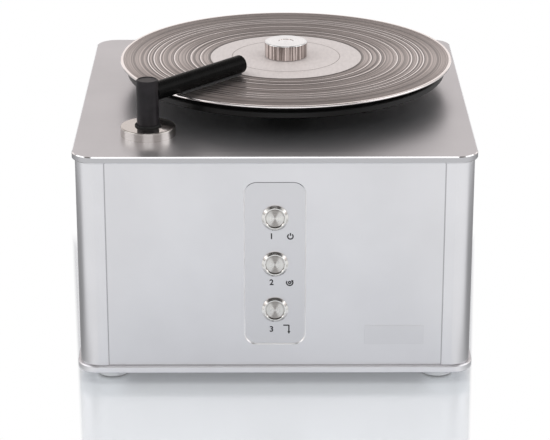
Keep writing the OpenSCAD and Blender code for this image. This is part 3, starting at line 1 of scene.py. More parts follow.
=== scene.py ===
# A record cleaning machine: an aluminium case with a platter, a record under its clamp and a
# hollow suction arm. The sections follow the machine as it is put together, from the floor up.
import math

import bmesh
import bpy
from mathutils import Matrix, Vector, noise


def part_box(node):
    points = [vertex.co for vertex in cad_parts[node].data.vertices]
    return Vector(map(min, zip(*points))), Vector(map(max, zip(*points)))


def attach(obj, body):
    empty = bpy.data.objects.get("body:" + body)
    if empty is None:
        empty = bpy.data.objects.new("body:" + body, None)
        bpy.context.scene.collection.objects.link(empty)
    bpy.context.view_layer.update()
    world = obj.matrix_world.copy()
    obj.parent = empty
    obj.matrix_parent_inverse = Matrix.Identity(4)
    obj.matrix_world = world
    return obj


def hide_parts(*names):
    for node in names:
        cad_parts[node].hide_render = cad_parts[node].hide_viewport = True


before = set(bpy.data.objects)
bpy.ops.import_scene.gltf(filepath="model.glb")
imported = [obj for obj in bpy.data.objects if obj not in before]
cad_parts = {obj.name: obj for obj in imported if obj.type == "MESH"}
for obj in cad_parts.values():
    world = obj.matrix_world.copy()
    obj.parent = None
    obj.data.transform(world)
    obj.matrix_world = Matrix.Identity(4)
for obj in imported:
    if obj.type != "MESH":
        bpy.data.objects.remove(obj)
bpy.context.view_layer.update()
mm = 0.001


# Camera. A long lens two metres in front of the machine and a little above it, without shift,
# at the angle of the catalogue photograph.
camera = bpy.data.objects.new("camera", bpy.data.cameras.new("camera"))
camera.data.lens = 149.96
camera.data.sensor_width = 36
camera.location = (-0.0078, -1.9998, 0.829)
camera.rotation_euler = (math.radians(69.451), 0, math.radians(-0.246))
bpy.context.scene.collection.objects.link(camera)
bpy.context.scene.camera = camera
bpy.context.scene.view_settings.view_transform = "Standard"


# Studio. A table of pale glossy acrylic that runs out into white, a large soft box at each side,
# a wide one in front above the camera and a narrow one overhead. The white room is brightest a
# little above the table, dark overhead, and darker high up in front.
def add_node(tree, kind, values=(), **settings):
    """Adds a shader node, and fills its inputs with plain values or with other nodes' outputs."""
    made = tree.nodes.new("ShaderNode" + kind)
    for name, value in settings.items():
        setattr(made, name, value)
    for socket, value in dict(values).items():
        if isinstance(value, bpy.types.NodeSocket):
            tree.links.new(value, made.inputs[socket])
        else:
            made.inputs[socket].default_value = value
    return made


def arithmetic(tree, operation, first, second=0.0, third=0.0):
    return add_node(tree, "Math", {0: first, 1: second, 2: third}, operation=operation).outputs[0]


def product(tree, first, *others):
    for other in others:
        first = arithmetic(tree, "MULTIPLY", first, other)
    return first


def highest(tree, first, *others):
    for other in others:
        first = arithmetic(tree, "MAXIMUM", first, other)
    return first


def vector_math(tree, operation, first, second=(0, 0, 0), scale=1.0):
    made = add_node(tree, "VectorMath", {0: first, 1: second, 3: scale}, operation=operation)
    return made.outputs["Value" if operation in ("LENGTH", "DOT_PRODUCT") else "Vector"]


def split(tree, vector):
    """A vector's three parts, by the names X, Y and Z."""
    return add_node(tree, "SeparateXYZ", {0: vector}).outputs


def ease(tree, value, start, end):
    """Runs smoothly from 0 to 1 as the value goes from start to end."""
    values = {"Value": value, "From Min": start, "From Max": end}
    return add_node(tree, "MapRange", values, interpolation_type="SMOOTHSTEP").outputs[0]


def seen_ray(tree):
    """1 where the camera, a reflection or a clear piece looks, and 0 for the light itself."""
    rays = add_node(tree, "LightPath").outputs
    return highest(tree, rays["Is Camera Ray"], rays["Is Glossy Ray"], rays["Is Transmission Ray"])


def mix_shaders(tree, share, first, second):
    return add_node(tree, "MixShader", {0: share, 1: first.outputs[0], 2: second.outputs[0]})


def start_finish(name, colour, metal=0.0, rough=0.5):
    """A new material with its shader set to that colour, metal share and roughness."""
    material = bpy.data.materials.new(name)
    material.use_nodes = True
    tree = material.node_tree
    shader = tree.nodes["Principled BSDF"]
    shader.inputs["Base Color"].default_value = (*colour, 1)
    shader.inputs["Metallic"].default_value = metal
    shader.inputs["Roughness"].default_value = rough
    return material, tree, shader


# Dull surfaces are lit by a plain white room. The camera and reflections see its tones by height.
world = bpy.data.worlds.new("studio")
bpy.context.scene.world = world
world.use_nodes = True
sky = world.node_tree
room_light = 0.80
room_tint = (1.0, 0.93, 0.905)
room_levels = ((0.14, 0.7), (0.22, 1.0), (0.34, 0.94), (0.39, 0.8), (0.5, 0.5), (0.7, 0.3))
front_loss = 0.75
look = split(sky, add_node(sky, "TexCoord").outputs["Generated"])
room_tone = add_node(sky, "ValToRGB", {"Fac": look["Z"]})
room_stops = room_tone.color_ramp.elements
room_stops[0].position = 0.04
room_stops[0].color = (0.45, 0.45, 0.45, 1)
room_stops[1].color = (0.27, 0.25, 0.245, 1)
for height, level in room_levels:
    room_stops.new(height).color = (*(level * c for c in room_tint), 1)
high_in_front = product(sky, ease(sky, look["Y"], -0.05, -0.40), ease(sky, look["Z"], 0.34, 0.5))
room_left = arithmetic(sky, "MULTIPLY_ADD", high_in_front, -front_loss, 1.0)
room_plain = add_node(sky, "Background", {"Color": (1, 1, 1, 1), "Strength": room_light})
room_seen = add_node(sky, "Background", {"Color": room_tone.outputs["Color"], "Strength": room_left})
room = mix_shaders(sky, seen_ray(sky), room_plain, room_seen)
sky.links.new(room.outputs[0], sky.nodes["World Output"].inputs["Surface"])

# The table is white behind the machine, far off, and beside the lines of sight past its sides. In
# the machine's own reflections it carries painted shade, most of all beside the case.
table_size = 60
sight_from = 2.0
table_acrylic, tree, acrylic = start_finish("table_acrylic", (0.88, 0.915, 0.95), metal=0.34, rough=0.24)
on_table = add_node(tree, "TexCoord").outputs["Object"]
place = split(tree, on_table)
reach = vector_math(tree, "LENGTH", on_table)
sideways = arithmetic(tree, "ABSOLUTE", place["X"])
sight_slope = arithmetic(tree, "DIVIDE", sideways, arithmetic(tree, "ADD", place["Y"], sight_from))
beside = ease(tree, sight_slope, 0.0925, 0.0945)
behind = ease(tree, place["Y"], 0.12, 0.18)
far_off = ease(tree, reach, 0.22, 0.9)
least_white = 0.12
white_share = product(tree, highest(tree, far_off, beside, behind, least_white), seen_ray(tree))
white = add_node(tree, "Emission", {"Color": (1, 1, 1, 1), "Strength": 1.0})
pale = mix_shaders(tree, white_share, acrylic, white)
# Painted shade on the table, seen only in the machine's reflections.
darkest_beside, darkest_in_front = 0.7, 0.10
dark_near = ease(tree, sideways, 0.17, 0.20)
dark_until = ease(tree, sideways, 0.95, 0.6)
dark_from_front = ease(tree, place["Y"], -0.30, -0.13)
side_dark = product(tree, dark_near, dark_until, dark_from_front, darkest_beside)
middle_dark = product(tree, ease(tree, reach, 0.62, 0.26), darkest_in_front)
in_reflection = add_node(tree, "LightPath").outputs["Is Glossy Ray"]
dark_share = product(tree, highest(tree, side_dark, middle_dark), in_reflection)
black = add_node(tree, "Emission", {"Color": (0, 0, 0, 1), "Strength": 0.0})
toned = mix_shaders(tree, dark_share, pale, black)
tree.links.new(toned.outputs[0], tree.nodes["Material Output"].inputs["Surface"])

table_bm = bmesh.new()
bmesh.ops.create_grid(table_bm, x_segments=1, y_segments=1, size=table_size / 2)
table_mesh = bpy.data.meshes.new("table")
table_bm.to_mesh(table_mesh)
table_bm.free()
table_mesh.materials.append(table_acrylic)
table = bpy.data.objects.new("table", table_mesh)
bpy.context.scene.collection.objects.link(table)

lit_spot = Vector((0, 0, 0.12))
for name, place, size, power in (
    ("left_box", (-1.45, -0.25, 1.15), (1.5, 1.2), 6),
    ("right_box", (1.45, -0.25, 1.15), (1.5, 1.2), 6),
    ("front_box", (0.0, -2.7, 1.35), (1.9, 0.8), 5),
    ("top_box", (0.0, -0.93, 2.55), (1.4, 0.6), 4),
):
    lamp = bpy.data.objects.new(name, bpy.data.lights.new(name, "AREA"))
    lamp.data.shape = "RECTANGLE"
    lamp.data.size, lamp.data.size_y = size
    lamp.data.energy = power
    lamp.location = place
    lamp.rotation_euler = (lit_spot - Vector(place)).to_track_quat("-Z", "Y").to_euler()
    bpy.context.scene.collection.objects.link(lamp)


# Bottom and top plates of the case: 6 mm aluminium, milled with a small bevel all round, bead
# blasted and anodised in a pale silver, which leaves a fine even satin. The bevels shine, and the
# sawn edges carry painted shade.
def own_place(tree, centre=(0, 0, 0), turn=(0, 0, 0), size=(1, 1, 1)):
    """The place on a piece, counted from a centre along turned axes, in steps of that size."""
    values = {
        "Vector": add_node(tree, "TexCoord").outputs["Object"],
        "Location": centre,
        "Rotation": turn,
        "Scale": size,
    }
    return add_node(tree, "Mapping", values, vector_type="TEXTURE").outputs[0]


def surface_normal(tree):
    return add_node(tree, "NewGeometry").outputs["Normal"]


def marks(tree, size, centre=(0, 0, 0), detail=2.0):
    """A cloudy pattern whose marks have that size in metres along each axis of the piece."""
    size = (size, size, size) if isinstance(size, float) else size
    values = {"Vector": own_place(tree, centre, size=size), "Scale": 1.0, "Detail": detail}
    return add_node(tree, "TexNoise", values).outputs["Fac"]


def between(tree, share, first, second):
    """A value between two others, by that share of the second."""
    return add_node(tree, "Mix", {0: share, 2: first, 3: second}).outputs[0]


def two_tones(tree, pattern, dark, light, low=0.35, high=0.65):
    """Turns a pattern into tones from dark, where it is low, to light, where it is high."""
    ramp = add_node(tree, "ValToRGB", {"Fac": pattern})
    ramp.color_ramp.elements[0].position = low
    ramp.color_ramp.elements[0].color = (*dark, 1)
    ramp.color_ramp.elements[1].position = high
    ramp.color_ramp.elements[1].color = (*light, 1)
    return ramp.outputs["Color"]


def shade(tree, shader, pattern, dark, light, low=0.35, high=0.65):
    """Lets the colour wander between two tones with a pattern."""
    tree.links.new(two_tones(tree, pattern, dark, light, low, high), shader.inputs["Base Color"])


def lay_over(tree, shader, share, colour):
    """Lays another colour over the shader's own, by that share."""
    colour = colour if isinstance(colour, bpy.types.NodeSocket) else (*colour, 1)
    under = shader.inputs["Base Color"].links[0].from_socket
    mixed = add_node(tree, "Mix", {0: share, 6: under, 7: colour}, data_type="RGBA")
    tree.links.new(mixed.outputs[2], shader.inputs["Base Color"])


def wander(tree, pattern, low, high):
    """A value that goes from low to high with a pattern."""
    values = {"Value": pattern, "From Min": 0.3, "From Max": 0.7, "To Min": low, "To Max": high}
    return add_node(tree, "MapRange", values).outputs[0]


def polish(tree, shader, pattern, smooth, dull):
    """Lets the roughness wander between two values with a pattern."""
    tree.links.new(wander(tree, pattern, smooth, dull), shader.inputs["Roughness"])


def relief(tree, shader, pattern, height, strength=1.0):
    """Raises the pattern by that height in metres, on top of any relief there already."""
    values = {"Height": pattern, "Distance": height, "Strength": strength}
    if shader.inputs["Normal"].is_linked:
        values["Normal"] = shader.inputs["Normal"].links[0].from_socket
    bump = add_node(tree, "Bump", values)
    tree.links.new(bump.outputs["Normal"], shader.inputs["Normal"])


def tone(colour, factor):
    return tuple(min(1.0, c * factor) for c in colour)


def dress(material, *names):
    """Gives carried-over CAD nodes their material."""
    for name in names:
        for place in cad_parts[name].material_slots:
            place.material = material


def shade_joint(tree, shader, middle, half, width):
    """Darkens a thin line with painted shade and dust where a piece meets its neighbours round a box."""
    outward = vector_math(tree, "ABSOLUTE", own_place(tree, middle))
    inside = split(tree, vector_math(tree, "SUBTRACT", half, outward))
    gaps = [arithmetic(tree, "ABSOLUTE", inside[axis]) for axis in "XYZ"]
    line = highest(tree, *(ease(tree, gap, width, width / 2) for gap in gaps))
    dust_and_shade_colour, dust_and_shade_share = (0.04, 0.04, 0.045), 0.45
    lay_over(tree, shader, product(tree, line, dust_and_shade_share), dust_and_shade_colour)


def shine_bevel(tree, shader, colour, axis, bevel_rough):
    """Makes the bevels round a flat piece bright and smooth, and paints shade on the edges square to it.
    """
    facing = arithmetic(tree, "ABSOLUTE", split(tree, surface_normal(tree))[axis])
    # 1 on the flat faces, about 0.7 on the bevels and 0 on the edges.
    bevel = product(tree, ease(tree, facing, 0.3, 0.4), ease(tree, facing, 0.95, 0.9))
    satin = shader.inputs["Roughness"].links[0].from_socket
    tree.links.new(between(tree, bevel, satin, bevel_rough), shader.inputs["Roughness"])
    bare_colour, edge_shade_tone = (0.97, 0.97, 0.98), 0.71
    lay_over(tree, shader, bevel, bare_colour)
    # Painted shade on the edges square to the faces.
    lay_over(tree, shader, ease(tree, facing, 0.3, 0.2), tone(colour, edge_shade_tone))


def anodised(name, colour, rough=0.34, streak=None, joint=None, bevel_axis=None, bevel_rough=0.12):
    """Satin anodised aluminium: fine blasted grain, a faint cloudiness, and drawing lines if any.

    A joint is the middle, the half size and the width of a line of painted shade and dust round a box.
    The bevel axis is the one that a flat piece's faces are square to.
    """
    material, tree, shader = start_finish(name, colour, metal=1.0, rough=rough)
    shade(tree, shader, marks(tree, 70 * mm, detail=3.0), tone(colour, 0.97), tone(colour, 1.02))
    polish(tree, shader, marks(tree, 0.6 * mm, detail=3.0), rough - 0.02, rough + 0.03)
    relief(tree, shader, marks(tree, 0.25 * mm, detail=1.0), 0.0015 * mm, 0.4)
    if streak:
        relief(tree, shader, marks(tree, streak), 0.002 * mm, 0.3)
    if joint:
        shade_joint(tree, shader, *joint)
    if bevel_axis:
        shine_bevel(tree, shader, colour, bevel_axis, bevel_rough)
    return material


case_colour = (0.74, 0.74, 0.765)
dress(anodised("deck_satin", case_colour, rough=0.35, bevel_axis="Z"), "top_plate")
# The bottom plate's copy of the finish is lighter than the deck's: painted light.
dress(anodised("plinth_satin", tone(case_colour, 1.14), rough=0.35), "bottom_plate")


# Corner posts: four extruded aluminium lengths, sawn off square, with grooves for the panels.
# The press leaves hardly visible lines along them under the same pale anodising.
post_low, post_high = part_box("corner_posts")
post_middle = (post_low + post_high) / 2
post_half = (post_high - post_low) / 2
# A box far wider than the case, so that only its top and bottom meet the posts.
plates_only = Vector((1, 1, post_half.z))
joint_width = 1.0 * mm
post_finish = anodised(
    "post_satin",
    tone(case_colour, 1.02),
    rough=0.30,
    streak=(0.5 * mm, 0.5 * mm, 90 * mm),
    joint=(post_middle, plates_only, joint_width),
)
dress(post_finish, "corner_posts")


# Panels: four 3 mm aluminium sheets that slide into the posts' grooves, with a faint rolling grain
# across them. The front one has a milled field with a floor that is a little darker than the face
# and a rim with painted shade along its upper side.
def nodes_of(material):
    """A finish's tree and its shader."""
    return material.node_tree, material.node_tree.nodes["Principled BSDF"]


post_leg = 25 * mm
between_posts = post_half - Vector((post_leg, post_leg, 0))
sheet_streak = (60 * mm, 60 * mm, 0.6 * mm)
panel_finish = anodised(
    "panel_satin",
    case_colour,
    rough=0.33,
    streak=sheet_streak,
    joint=(post_middle, between_posts, joint_width),
    bevel_axis="Y",
    bevel_rough=0.3,
)
tree, shader = nodes_of(panel_finish)
# The field's rim leans down along its top, where it gets painted shade, and its floor lies 1.2 mm
# behind the panel's face.
upward = split(tree, surface_normal(tree))["Z"]
under_rim = product(tree, ease(tree, upward, -0.3, -0.6), ease(tree, upward, -0.95, -0.9))
rim_shade, floor_tone = (0.20, 0.20, 0.21), 0.92
lay_over(tree, shader, under_rim, rim_shade)
panel_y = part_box("front_panel")[0].y
depth_in = split(tree, own_place(tree))["Y"]
past_rim = ease(tree, depth_in, panel_y + 0.8 * mm, panel_y + 1.15 * mm)
before_back = ease(tree, depth_in, panel_y + 2.2 * mm, panel_y + 1.6 * mm)
lay_over(tree, shader, product(tree, past_rim, before_back), tone(case_colour, floor_tone))
dress(panel_finish, "front_panel", "rear_panel", "left_panel", "right_panel")


# Tie rods: four long steel rods, threaded at both ends, that clamp posts and plates together.
# Turned steel shows fine rings round the rod.
def lathe_axis(turn):
    """The direction of an upright axis after it is turned about X."""
    return Matrix.Rotation(turn[0], 3, "X") @ Vector((0, 0, 1))


def stretch_gloss(tree, shader, centre, turn, amount):
    """Stretches reflections across the fine lines that run round the axis through the centre."""
    line = vector_math(tree, "CROSS_PRODUCT", lathe_axis(turn), own_place(tree, centre))
    over = vector_math(tree, "CROSS_PRODUCT", line, surface_normal(tree))
    tree.links.new(vector_math(tree, "NORMALIZE", over), shader.inputs["Tangent"])
    shader.inputs["Anisotropic"].default_value = amount


def ring_noise(tree, along, scale, detail):
    """A pattern of lines, with about that number of them in a metre."""
    values = {"W": along, "Scale": scale, "Detail": detail}
    return add_node(tree, "TexNoise", values, noise_dimensions="1D").outputs["Fac"]


def turned(
    name,
    colour,
    centre=(0, 0, 0),
    turn=(0, 0, 0),
    metal=1.0,
    rough=0.25,
    pitch=0.35 * mm,
    depth=0.004 * mm,
    gloss_stretch=0.5,
):
    """A turned finish: fine rings round the axis through the centre, on end faces and on sides."""
    material, tree, shader = start_finish(name, colour, metal=metal, rough=rough)
    parts = split(tree, own_place(tree, centre, turn))
    flat = add_node(tree, "CombineXYZ", {"X": parts["X"], "Y": parts["Y"]}).outputs[0]
    along = arithmetic(tree, "ADD", vector_math(tree, "LENGTH", flat), parts["Z"])
    ring = ring_noise(tree, along, 1 / pitch, 2.0)
    broad = ring_noise(tree, along, 0.12 / pitch, 1.0)
    stretch_gloss(tree, shader, centre, turn, gloss_stretch)
    shade(tree, shader, ring, tone(colour, 0.93), tone(colour, 1.04))
    polish(tree, shader, broad, rough - 0.04, rough + 0.06)
    if depth:
        relief(tree, shader, ring, depth, 0.6)
    return material


steel_colour = (0.60, 0.60, 0.62)
rod_steel = turned("rod_steel", steel_colour, rough=0.22)
dress(rod_steel, "tie_rods")


# Feet: four moulded discs of pale translucent rubber with a rounded lower edge, each held by a
# steel screw whose head sits in the foot's recess. Painted shade darkens their lower edges.
def milky(shader, weight, depth):
    """Lets that share of the light into the material, to that depth."""
    shader.inputs["Subsurface Weight"].default_value = weight
    shader.inputs["Subsurface Radius"].default_value = (1, 1, 1)
    shader.inputs["Subsurface Scale"].default_value = depth


foot_colour = (0.97, 0.985, 1.0)
foot_rubber, tree, shader = start_finish("foot_rubber", foot_colour, rough=0.42)
milky(shader, 0.1, 4 * mm)
shade(tree, shader, marks(tree, 9 * mm), tone(foot_colour, 0.97), tone(foot_colour, 1.02))
polish(tree, shader, marks(tree, 1.2 * mm), 0.36, 0.5)
relief(tree, shader, marks(tree, 0.5 * mm), 0.01 * mm, 0.5)
# Painted shade along the lower edge, where the foot meets the table.
foot_height = split(tree, own_place(tree))["Z"]
foot_edge_shade = (0.20, 0.21, 0.22)
lay_over(tree, shader, ease(tree, foot_height, 1.9 * mm, 0.7 * mm), foot_edge_shade)
dress(foot_rubber, "feet")

screw_steel = turned("screw_steel", steel_colour, rough=0.3, pitch=0.2 * mm)
dress(screw_steel, "foot_screws")


# Gear motor, its shaft and the turbine's motor: sheet steel cans in a dark grey stove enamel
# with a light orange peel, on a turned steel shaft.
enamel_colour = (0.12, 0.125, 0.135)
enamel, tree, shader = start_finish("motor_enamel", enamel_colour, rough=0.38)
shader.inputs["Coat Weight"].default_value = 0.3
shader.inputs["Coat Roughness"].default_value = 0.2
shade(tree, shader, marks(tree, 12 * mm, detail=4.0), tone(enamel_colour, 0.88), tone(enamel_colour, 1.1))
polish(tree, shader, marks(tree, 3 * mm), 0.32, 0.46)
relief(tree, shader, marks(tree, 0.9 * mm), 0.02 * mm, 0.5)
dress(enamel, "gear_motor", "vacuum_motor")
dress(rod_steel, "motor_shaft", "fan_shaft")


# Turbine: a moulded housing and cover in black glass-filled plastic round an aluminium wheel of
# curved blades, on three rubber buffers that keep the hum away from the case.
def middle_of(name):
    low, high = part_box(name)
    return (low + high) / 2


def moulded(name, colour, rough=0.45, grain=0.7 * mm):
    """Moulded plastic with an eroded mould texture and faint flow marks."""
    material, tree, shader = start_finish(name, colour, rough=rough)
    flow = marks(tree, (30 * mm, 30 * mm, 14 * mm), detail=3.0)
    shade(tree, shader, flow, tone(colour, 0.85), tone(colour, 1.15))
    polish(tree, shader, marks(tree, 5 * mm), rough - 0.06, rough + 0.07)
    relief(tree, shader, marks(tree, grain, detail=3.0), 0.02 * mm, 0.6)
    return material


def rubber(name, colour, rough=0.6):
    """Black rubber: matt, with a pale bloom in patches and a fine pebbled skin."""
    material, tree, shader = start_finish(name, colour, rough=rough)
    shader.inputs["Specular IOR Level"].default_value = 0.4
    shade(tree, shader, marks(tree, 6 * mm, detail=4.0), colour, tone(colour, 1.25))
    polish(tree, shader, marks(tree, 2 * mm), rough - 0.08, rough + 0.1)
    relief(tree, shader, marks(tree, 0.3 * mm), 0.015 * mm, 0.6)
    return material


turbine_plastic = moulded("turbine_plastic", (0.035, 0.035, 0.037))
dress(turbine_plastic, "turbine_housing", "turbine_cover")
machined_colour = (0.70, 0.70, 0.72)
wheel_metal = turned("wheel_metal", machined_colour, centre=middle_of("impeller"), rough=0.3)
dress(wheel_metal, "impeller")
hose_rubber = rubber("hose_rubber", (0.03, 0.03, 0.031))
dress(hose_rubber, "motor_mounts")


# Waste tank and lid: blow-moulded milky polyethylene. The fluid level can be seen through the
# wall. The hoses are black rubber, pushed over the tank's and the turbine's tails.
tank_colour = (0.80, 0.82, 0.82)
tank_plastic, tree, shader = start_finish("tank_plastic", tank_colour, rough=0.4)
milky(shader, 0.4, 5 * mm)
tank_flow = marks(tree, (40 * mm, 40 * mm, 16 * mm), detail=3.0)
shade(tree, shader, tank_flow, tone(tank_colour, 0.94), tone(tank_colour, 1.04))
polish(tree, shader, marks(tree, 8 * mm), 0.34, 0.48)
relief(tree, shader, marks(tree, 2.5 * mm), 0.03 * mm, 0.5)
dress(tank_plastic, "waste_tank", "tank_lid")
dress(hose_rubber, "suction_hose", "vacuum_hose", "drain_hose")


# Drain tap at the rear: nickel-plated brass with a turned body, a black moulded lever and a
# plain tail for a hose.
along_y = (math.radians(90), 0, 0)
nickel_colour = (0.74, 0.72, 0.68)
tap_nickel = turned(
    "tap_nickel",
    nickel_colour,
    centre=middle_of("drain_tap"),
    turn=along_y,
    rough=0.16,
    depth=0.002 * mm,
)
dress(tap_nickel, "drain_tap")
lever_plastic = moulded("lever_plastic", (0.04, 0.04, 0.042), rough=0.38)
dress(lever_plastic, "tap_lever")


# Mains inlet at the rear: a moulded socket of black plastic with three plated blades, held by two
# steel screws, with a drawer below that holds a glass fuse.
inlet_plastic = moulded("inlet_plastic", (0.03, 0.03, 0.031), rough=0.33, grain=0.5 * mm)
dress(inlet_plastic, "mains_inlet", "fuse_drawer")
dress(screw_steel, "inlet_screws")
fuse_glass, tree, shader = start_finish("fuse_glass", (0.88, 0.90, 0.90), rough=0.06)
shader.inputs["Transmission Weight"].default_value = 0.85
shader.inputs["IOR"].default_value = 1.5
shade(tree, shader, marks(tree, 4 * mm), (0.82, 0.85, 0.85), (0.90, 0.92, 0.92))
polish(tree, shader, marks(tree, 2 * mm), 0.03, 0.1)
relief(tree, shader, marks(tree, 3 * mm), 0.01 * mm, 0.3)
dress(fuse_glass, "fuse")


# Control board: a glass-fibre board with green solder mask over its copper tracks, screwed onto
# hexagonal brass spacers. It switches the motors.
board_colour = (0.035, 0.16, 0.08)
board_green, tree, shader = start_finish("board_green", board_colour, rough=0.32)
track_sizes = {"Scale": 1.0, "Mortar Size": 0.06, "Brick Width": 0.9, "Row Height": 0.32}
track_place = own_place(tree, size=(6 * mm, 6 * mm, 6 * mm))
tracks = add_node(tree, "TexBrick", {"Vector": track_place, **track_sizes}).outputs["Fac"]
shade(tree, shader, tracks, board_colour, (0.07, 0.27, 0.13), low=0.2, high=0.8)
polish(tree, shader, marks(tree, 1.5 * mm), 0.26, 0.4)
relief(tree, shader, tracks, 0.03 * mm, 0.6)
dress(board_green, "control_board")
spacer_brass = turned("spacer_brass", (0.72, 0.56, 0.30), rough=0.28)
dress(spacer_brass, "board_spacers")


# Platter bearing: a turned aluminium housing under the top plate with two sintered bronze
# bushes and a bronze washer. The ground steel shaft carries the platter and ends in the spindle.
spindle = middle_of("platter")
housing_metal = turned("housing_metal", machined_colour, centre=spindle, rough=0.3)
dress(housing_metal, "bearing_housing")
bush_bronze = turned("bush_bronze", (0.56, 0.38, 0.19), centre=spindle, rough=0.42)
tree, shader = nodes_of(bush_bronze)
relief(tree, shader, marks(tree, 0.25 * mm), 0.01 * mm, 0.6)
dress(bush_bronze, "bearing_bushes", "thrust_washer", "swivel_bush")
ground_steel = (0.66, 0.66, 0.67)
shaft_steel = turned("shaft_steel", ground_steel, centre=spindle, rough=0.12, depth=0.001 * mm)
dress(shaft_steel, "platter_shaft")


# Platter drive: two hobbed aluminium pulleys and a rubber toothed belt. The motor hangs from a
# milled bracket on four hexagonal posts, and steel cap screws hold it all to the top plate.
for name in ("platter_pulley", "motor_pulley"):
    dress(turned(name + "_metal", machined_colour, centre=middle_of(name), rough=0.28), name)
dress(rubber("belt_rubber", (0.022, 0.022, 0.023), rough=0.5), "drive_belt")
milled_streak = (40 * mm, 0.4 * mm, 0.4 * mm)
dress(anodised("bracket_metal", machined_colour, rough=0.36, streak=milled_streak), "motor_bracket")
dress(rod_steel, "bracket_posts")
dress(screw_steel, "cap_screws")


# Push buttons: three stainless switches with a turned, polished ring in front of the panel and
# a nickel nut behind it. The caps are faced on a lathe, so that the light makes a cross on them;
# painted reflection makes them darker above and below the middle than at their sides.
def from_axis(tree, centre, turn):
    """The way to each point from the axis through the centre, square to that axis."""
    axis = lathe_axis(turn)
    place = own_place(tree, centre)
    height = vector_math(tree, "DOT_PRODUCT", place, axis)
    return vector_math(tree, "SUBTRACT", place, vector_math(tree, "SCALE", axis, scale=height))


def cut_rings(tree, shader, centre, turn, pitch, slope):
    """Tilts the surface in and out in fine V-shaped rings round the axis through the centre."""
    across = from_axis(tree, centre, turn)
    outward = vector_math(tree, "NORMALIZE", across)
    wave = arithmetic(tree, "SINE", product(tree, vector_math(tree, "LENGTH", across), math.tau / pitch))
    tilt = vector_math(tree, "SCALE", outward, scale=product(tree, wave, slope))
    tilted = vector_math(tree, "ADD", surface_normal(tree), tilt)
    tree.links.new(vector_math(tree, "NORMALIZE", tilted), shader.inputs["Normal"])


button_colour = (0.78, 0.77, 0.75)
bezel_steel = turned(
    "bezel_steel",
    button_colour,
    centre=middle_of("upper_button"),
    turn=along_y,
    rough=0.12,
    depth=0.001 * mm,
)
dress(bezel_steel, "switch_barrels")
nut_nickel = turned("nut_nickel", nickel_colour, rough=0.2)
dress(nut_nickel, "switch_nuts")
facing_pitch, facing_slope = 0.3 * mm, 0.40
# The angles above the level, in radians, between which the painted shade on a cap goes from none to full.
cross_from, cross_to = 0.85, 1.35
painted_fan_shade = (0.40, 0.385, 0.37)
for name in ("upper_button", "middle_button", "lower_button"):
    cap_middle = middle_of(name)
    cap_steel = turned(
        "cap_steel_" + name,
        button_colour,
        centre=cap_middle,
        turn=along_y,
        rough=0.3,
        pitch=0.12 * mm,
        depth=0,
        gloss_stretch=0.8,
    )
    tree, shader = nodes_of(cap_steel)
    cut_rings(tree, shader, cap_middle, along_y, facing_pitch, facing_slope)
    # Painted reflection: darker fans above and below the cap's middle.
    spoke = split(tree, own_place(tree, cap_middle))
    rise, run = (arithmetic(tree, "ABSOLUTE", spoke[axis]) for axis in "ZX")
    slant = arithmetic(tree, "ARCTAN2", rise, run)
    lay_over(tree, shader, ease(tree, slant, cross_from, cross_to), painted_fan_shade)
    dress(cap_steel, name)


# Marks under the buttons, printed in dark grey in the sunk field: plain numbers, and beside
# each a common sign: a broken ring with a bar, a turning arrow, and an arrow down.
print_ink, tree, shader = start_finish("print_ink", (0.02, 0.02, 0.022), rough=0.5)
shade(tree, shader, marks(tree, 0.8 * mm), (0.015, 0.015, 0.017), (0.03, 0.03, 0.033))
polish(tree, shader, marks(tree, 0.6 * mm), 0.42, 0.6)
relief(tree, shader, marks(tree, 0.2 * mm), 0.004 * mm, 0.5)
field_y = panel_y + 1.2 * mm
ink_height = 0.06 * mm
stroke = 1.15 * mm


def make_piece(name, bm, body, material, smooth=None):
    """Turns a bmesh into a piece of the machine that rides on a body."""
    bmesh.ops.remove_doubles(bm, verts=bm.verts, dist=1e-7)
    bmesh.ops.recalc_face_normals(bm, faces=bm.faces)
    mesh = bpy.data.meshes.new(name)
    bm.to_mesh(mesh)
    bm.free()
    mesh.materials.append(material)
    if smooth:
        mesh.shade_smooth()
        mesh.set_sharp_from_angle(angle=math.radians(smooth))
    piece = bpy.data.objects.new(name, mesh)
    bpy.context.scene.collection.objects.link(piece)
    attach(piece, body)
    return piece


def print_mark(name, bm, x, z):
    """Makes a flat drawing a piece of the ink's height, upright on the floor of the sunk field."""
    grown = bmesh.ops.extrude_face_region(bm, geom=bm.faces[:])["geom"]
    lifted = [v for v in grown if isinstance(v, bmesh.types.BMVert)]
    bmesh.ops.translate(bm, verts=lifted, vec=(0, 0, ink_height))
    bmesh.ops.rotate(bm, verts=bm.verts, matrix=Matrix.Rotation(math.radians(90), 3, "X"))
    bmesh.ops.translate(bm, verts=bm.verts, vec=(x, field_y, z))
    make_piece(name, bm, "chassis", print_ink)


def turn_flat(degrees):
    return Matrix.Rotation(math.radians(degrees), 3, "Z")


def draw_arc(bm, radius, start, end):
    """A flat stroke along a circle round the origin, from one angle to another in degrees."""
    sides = (radius - stroke / 2, radius + stroke / 2)
    ends = [bm.verts.new(turn_flat(start) @ Vector((side, 0, 0))) for side in sides]
    bmesh.ops.spin(
        bm,
        geom=ends + [bm.edges.new(ends)],
        cent=(0, 0, 0),
        axis=(0, 0, 1),
        angle=math.radians(end - start),
        steps=32,
        use_merge=end - start >= 360,
    )


def draw_bar(bm, centre, size):
    """A flat oblong stroke."""
    made = bmesh.ops.create_grid(bm, x_segments=1, y_segments=1, size=0.5)["verts"]
    bmesh.ops.scale(bm, verts=made, vec=(*size, 1))
    bmesh.ops.translate(bm, verts=made, vec=(*centre, 0))


def draw_head(bm, tip, length, width, turn):
    """A flat arrow head that points along +Y before it is turned."""
    corners = [(0, 0, 0), (-width / 2, -length, 0), (width / 2, -length, 0)]
    bm.faces.new([bm.verts.new(turn_flat(turn) @ Vector(c) + Vector((*tip, 0))) for c in corners])


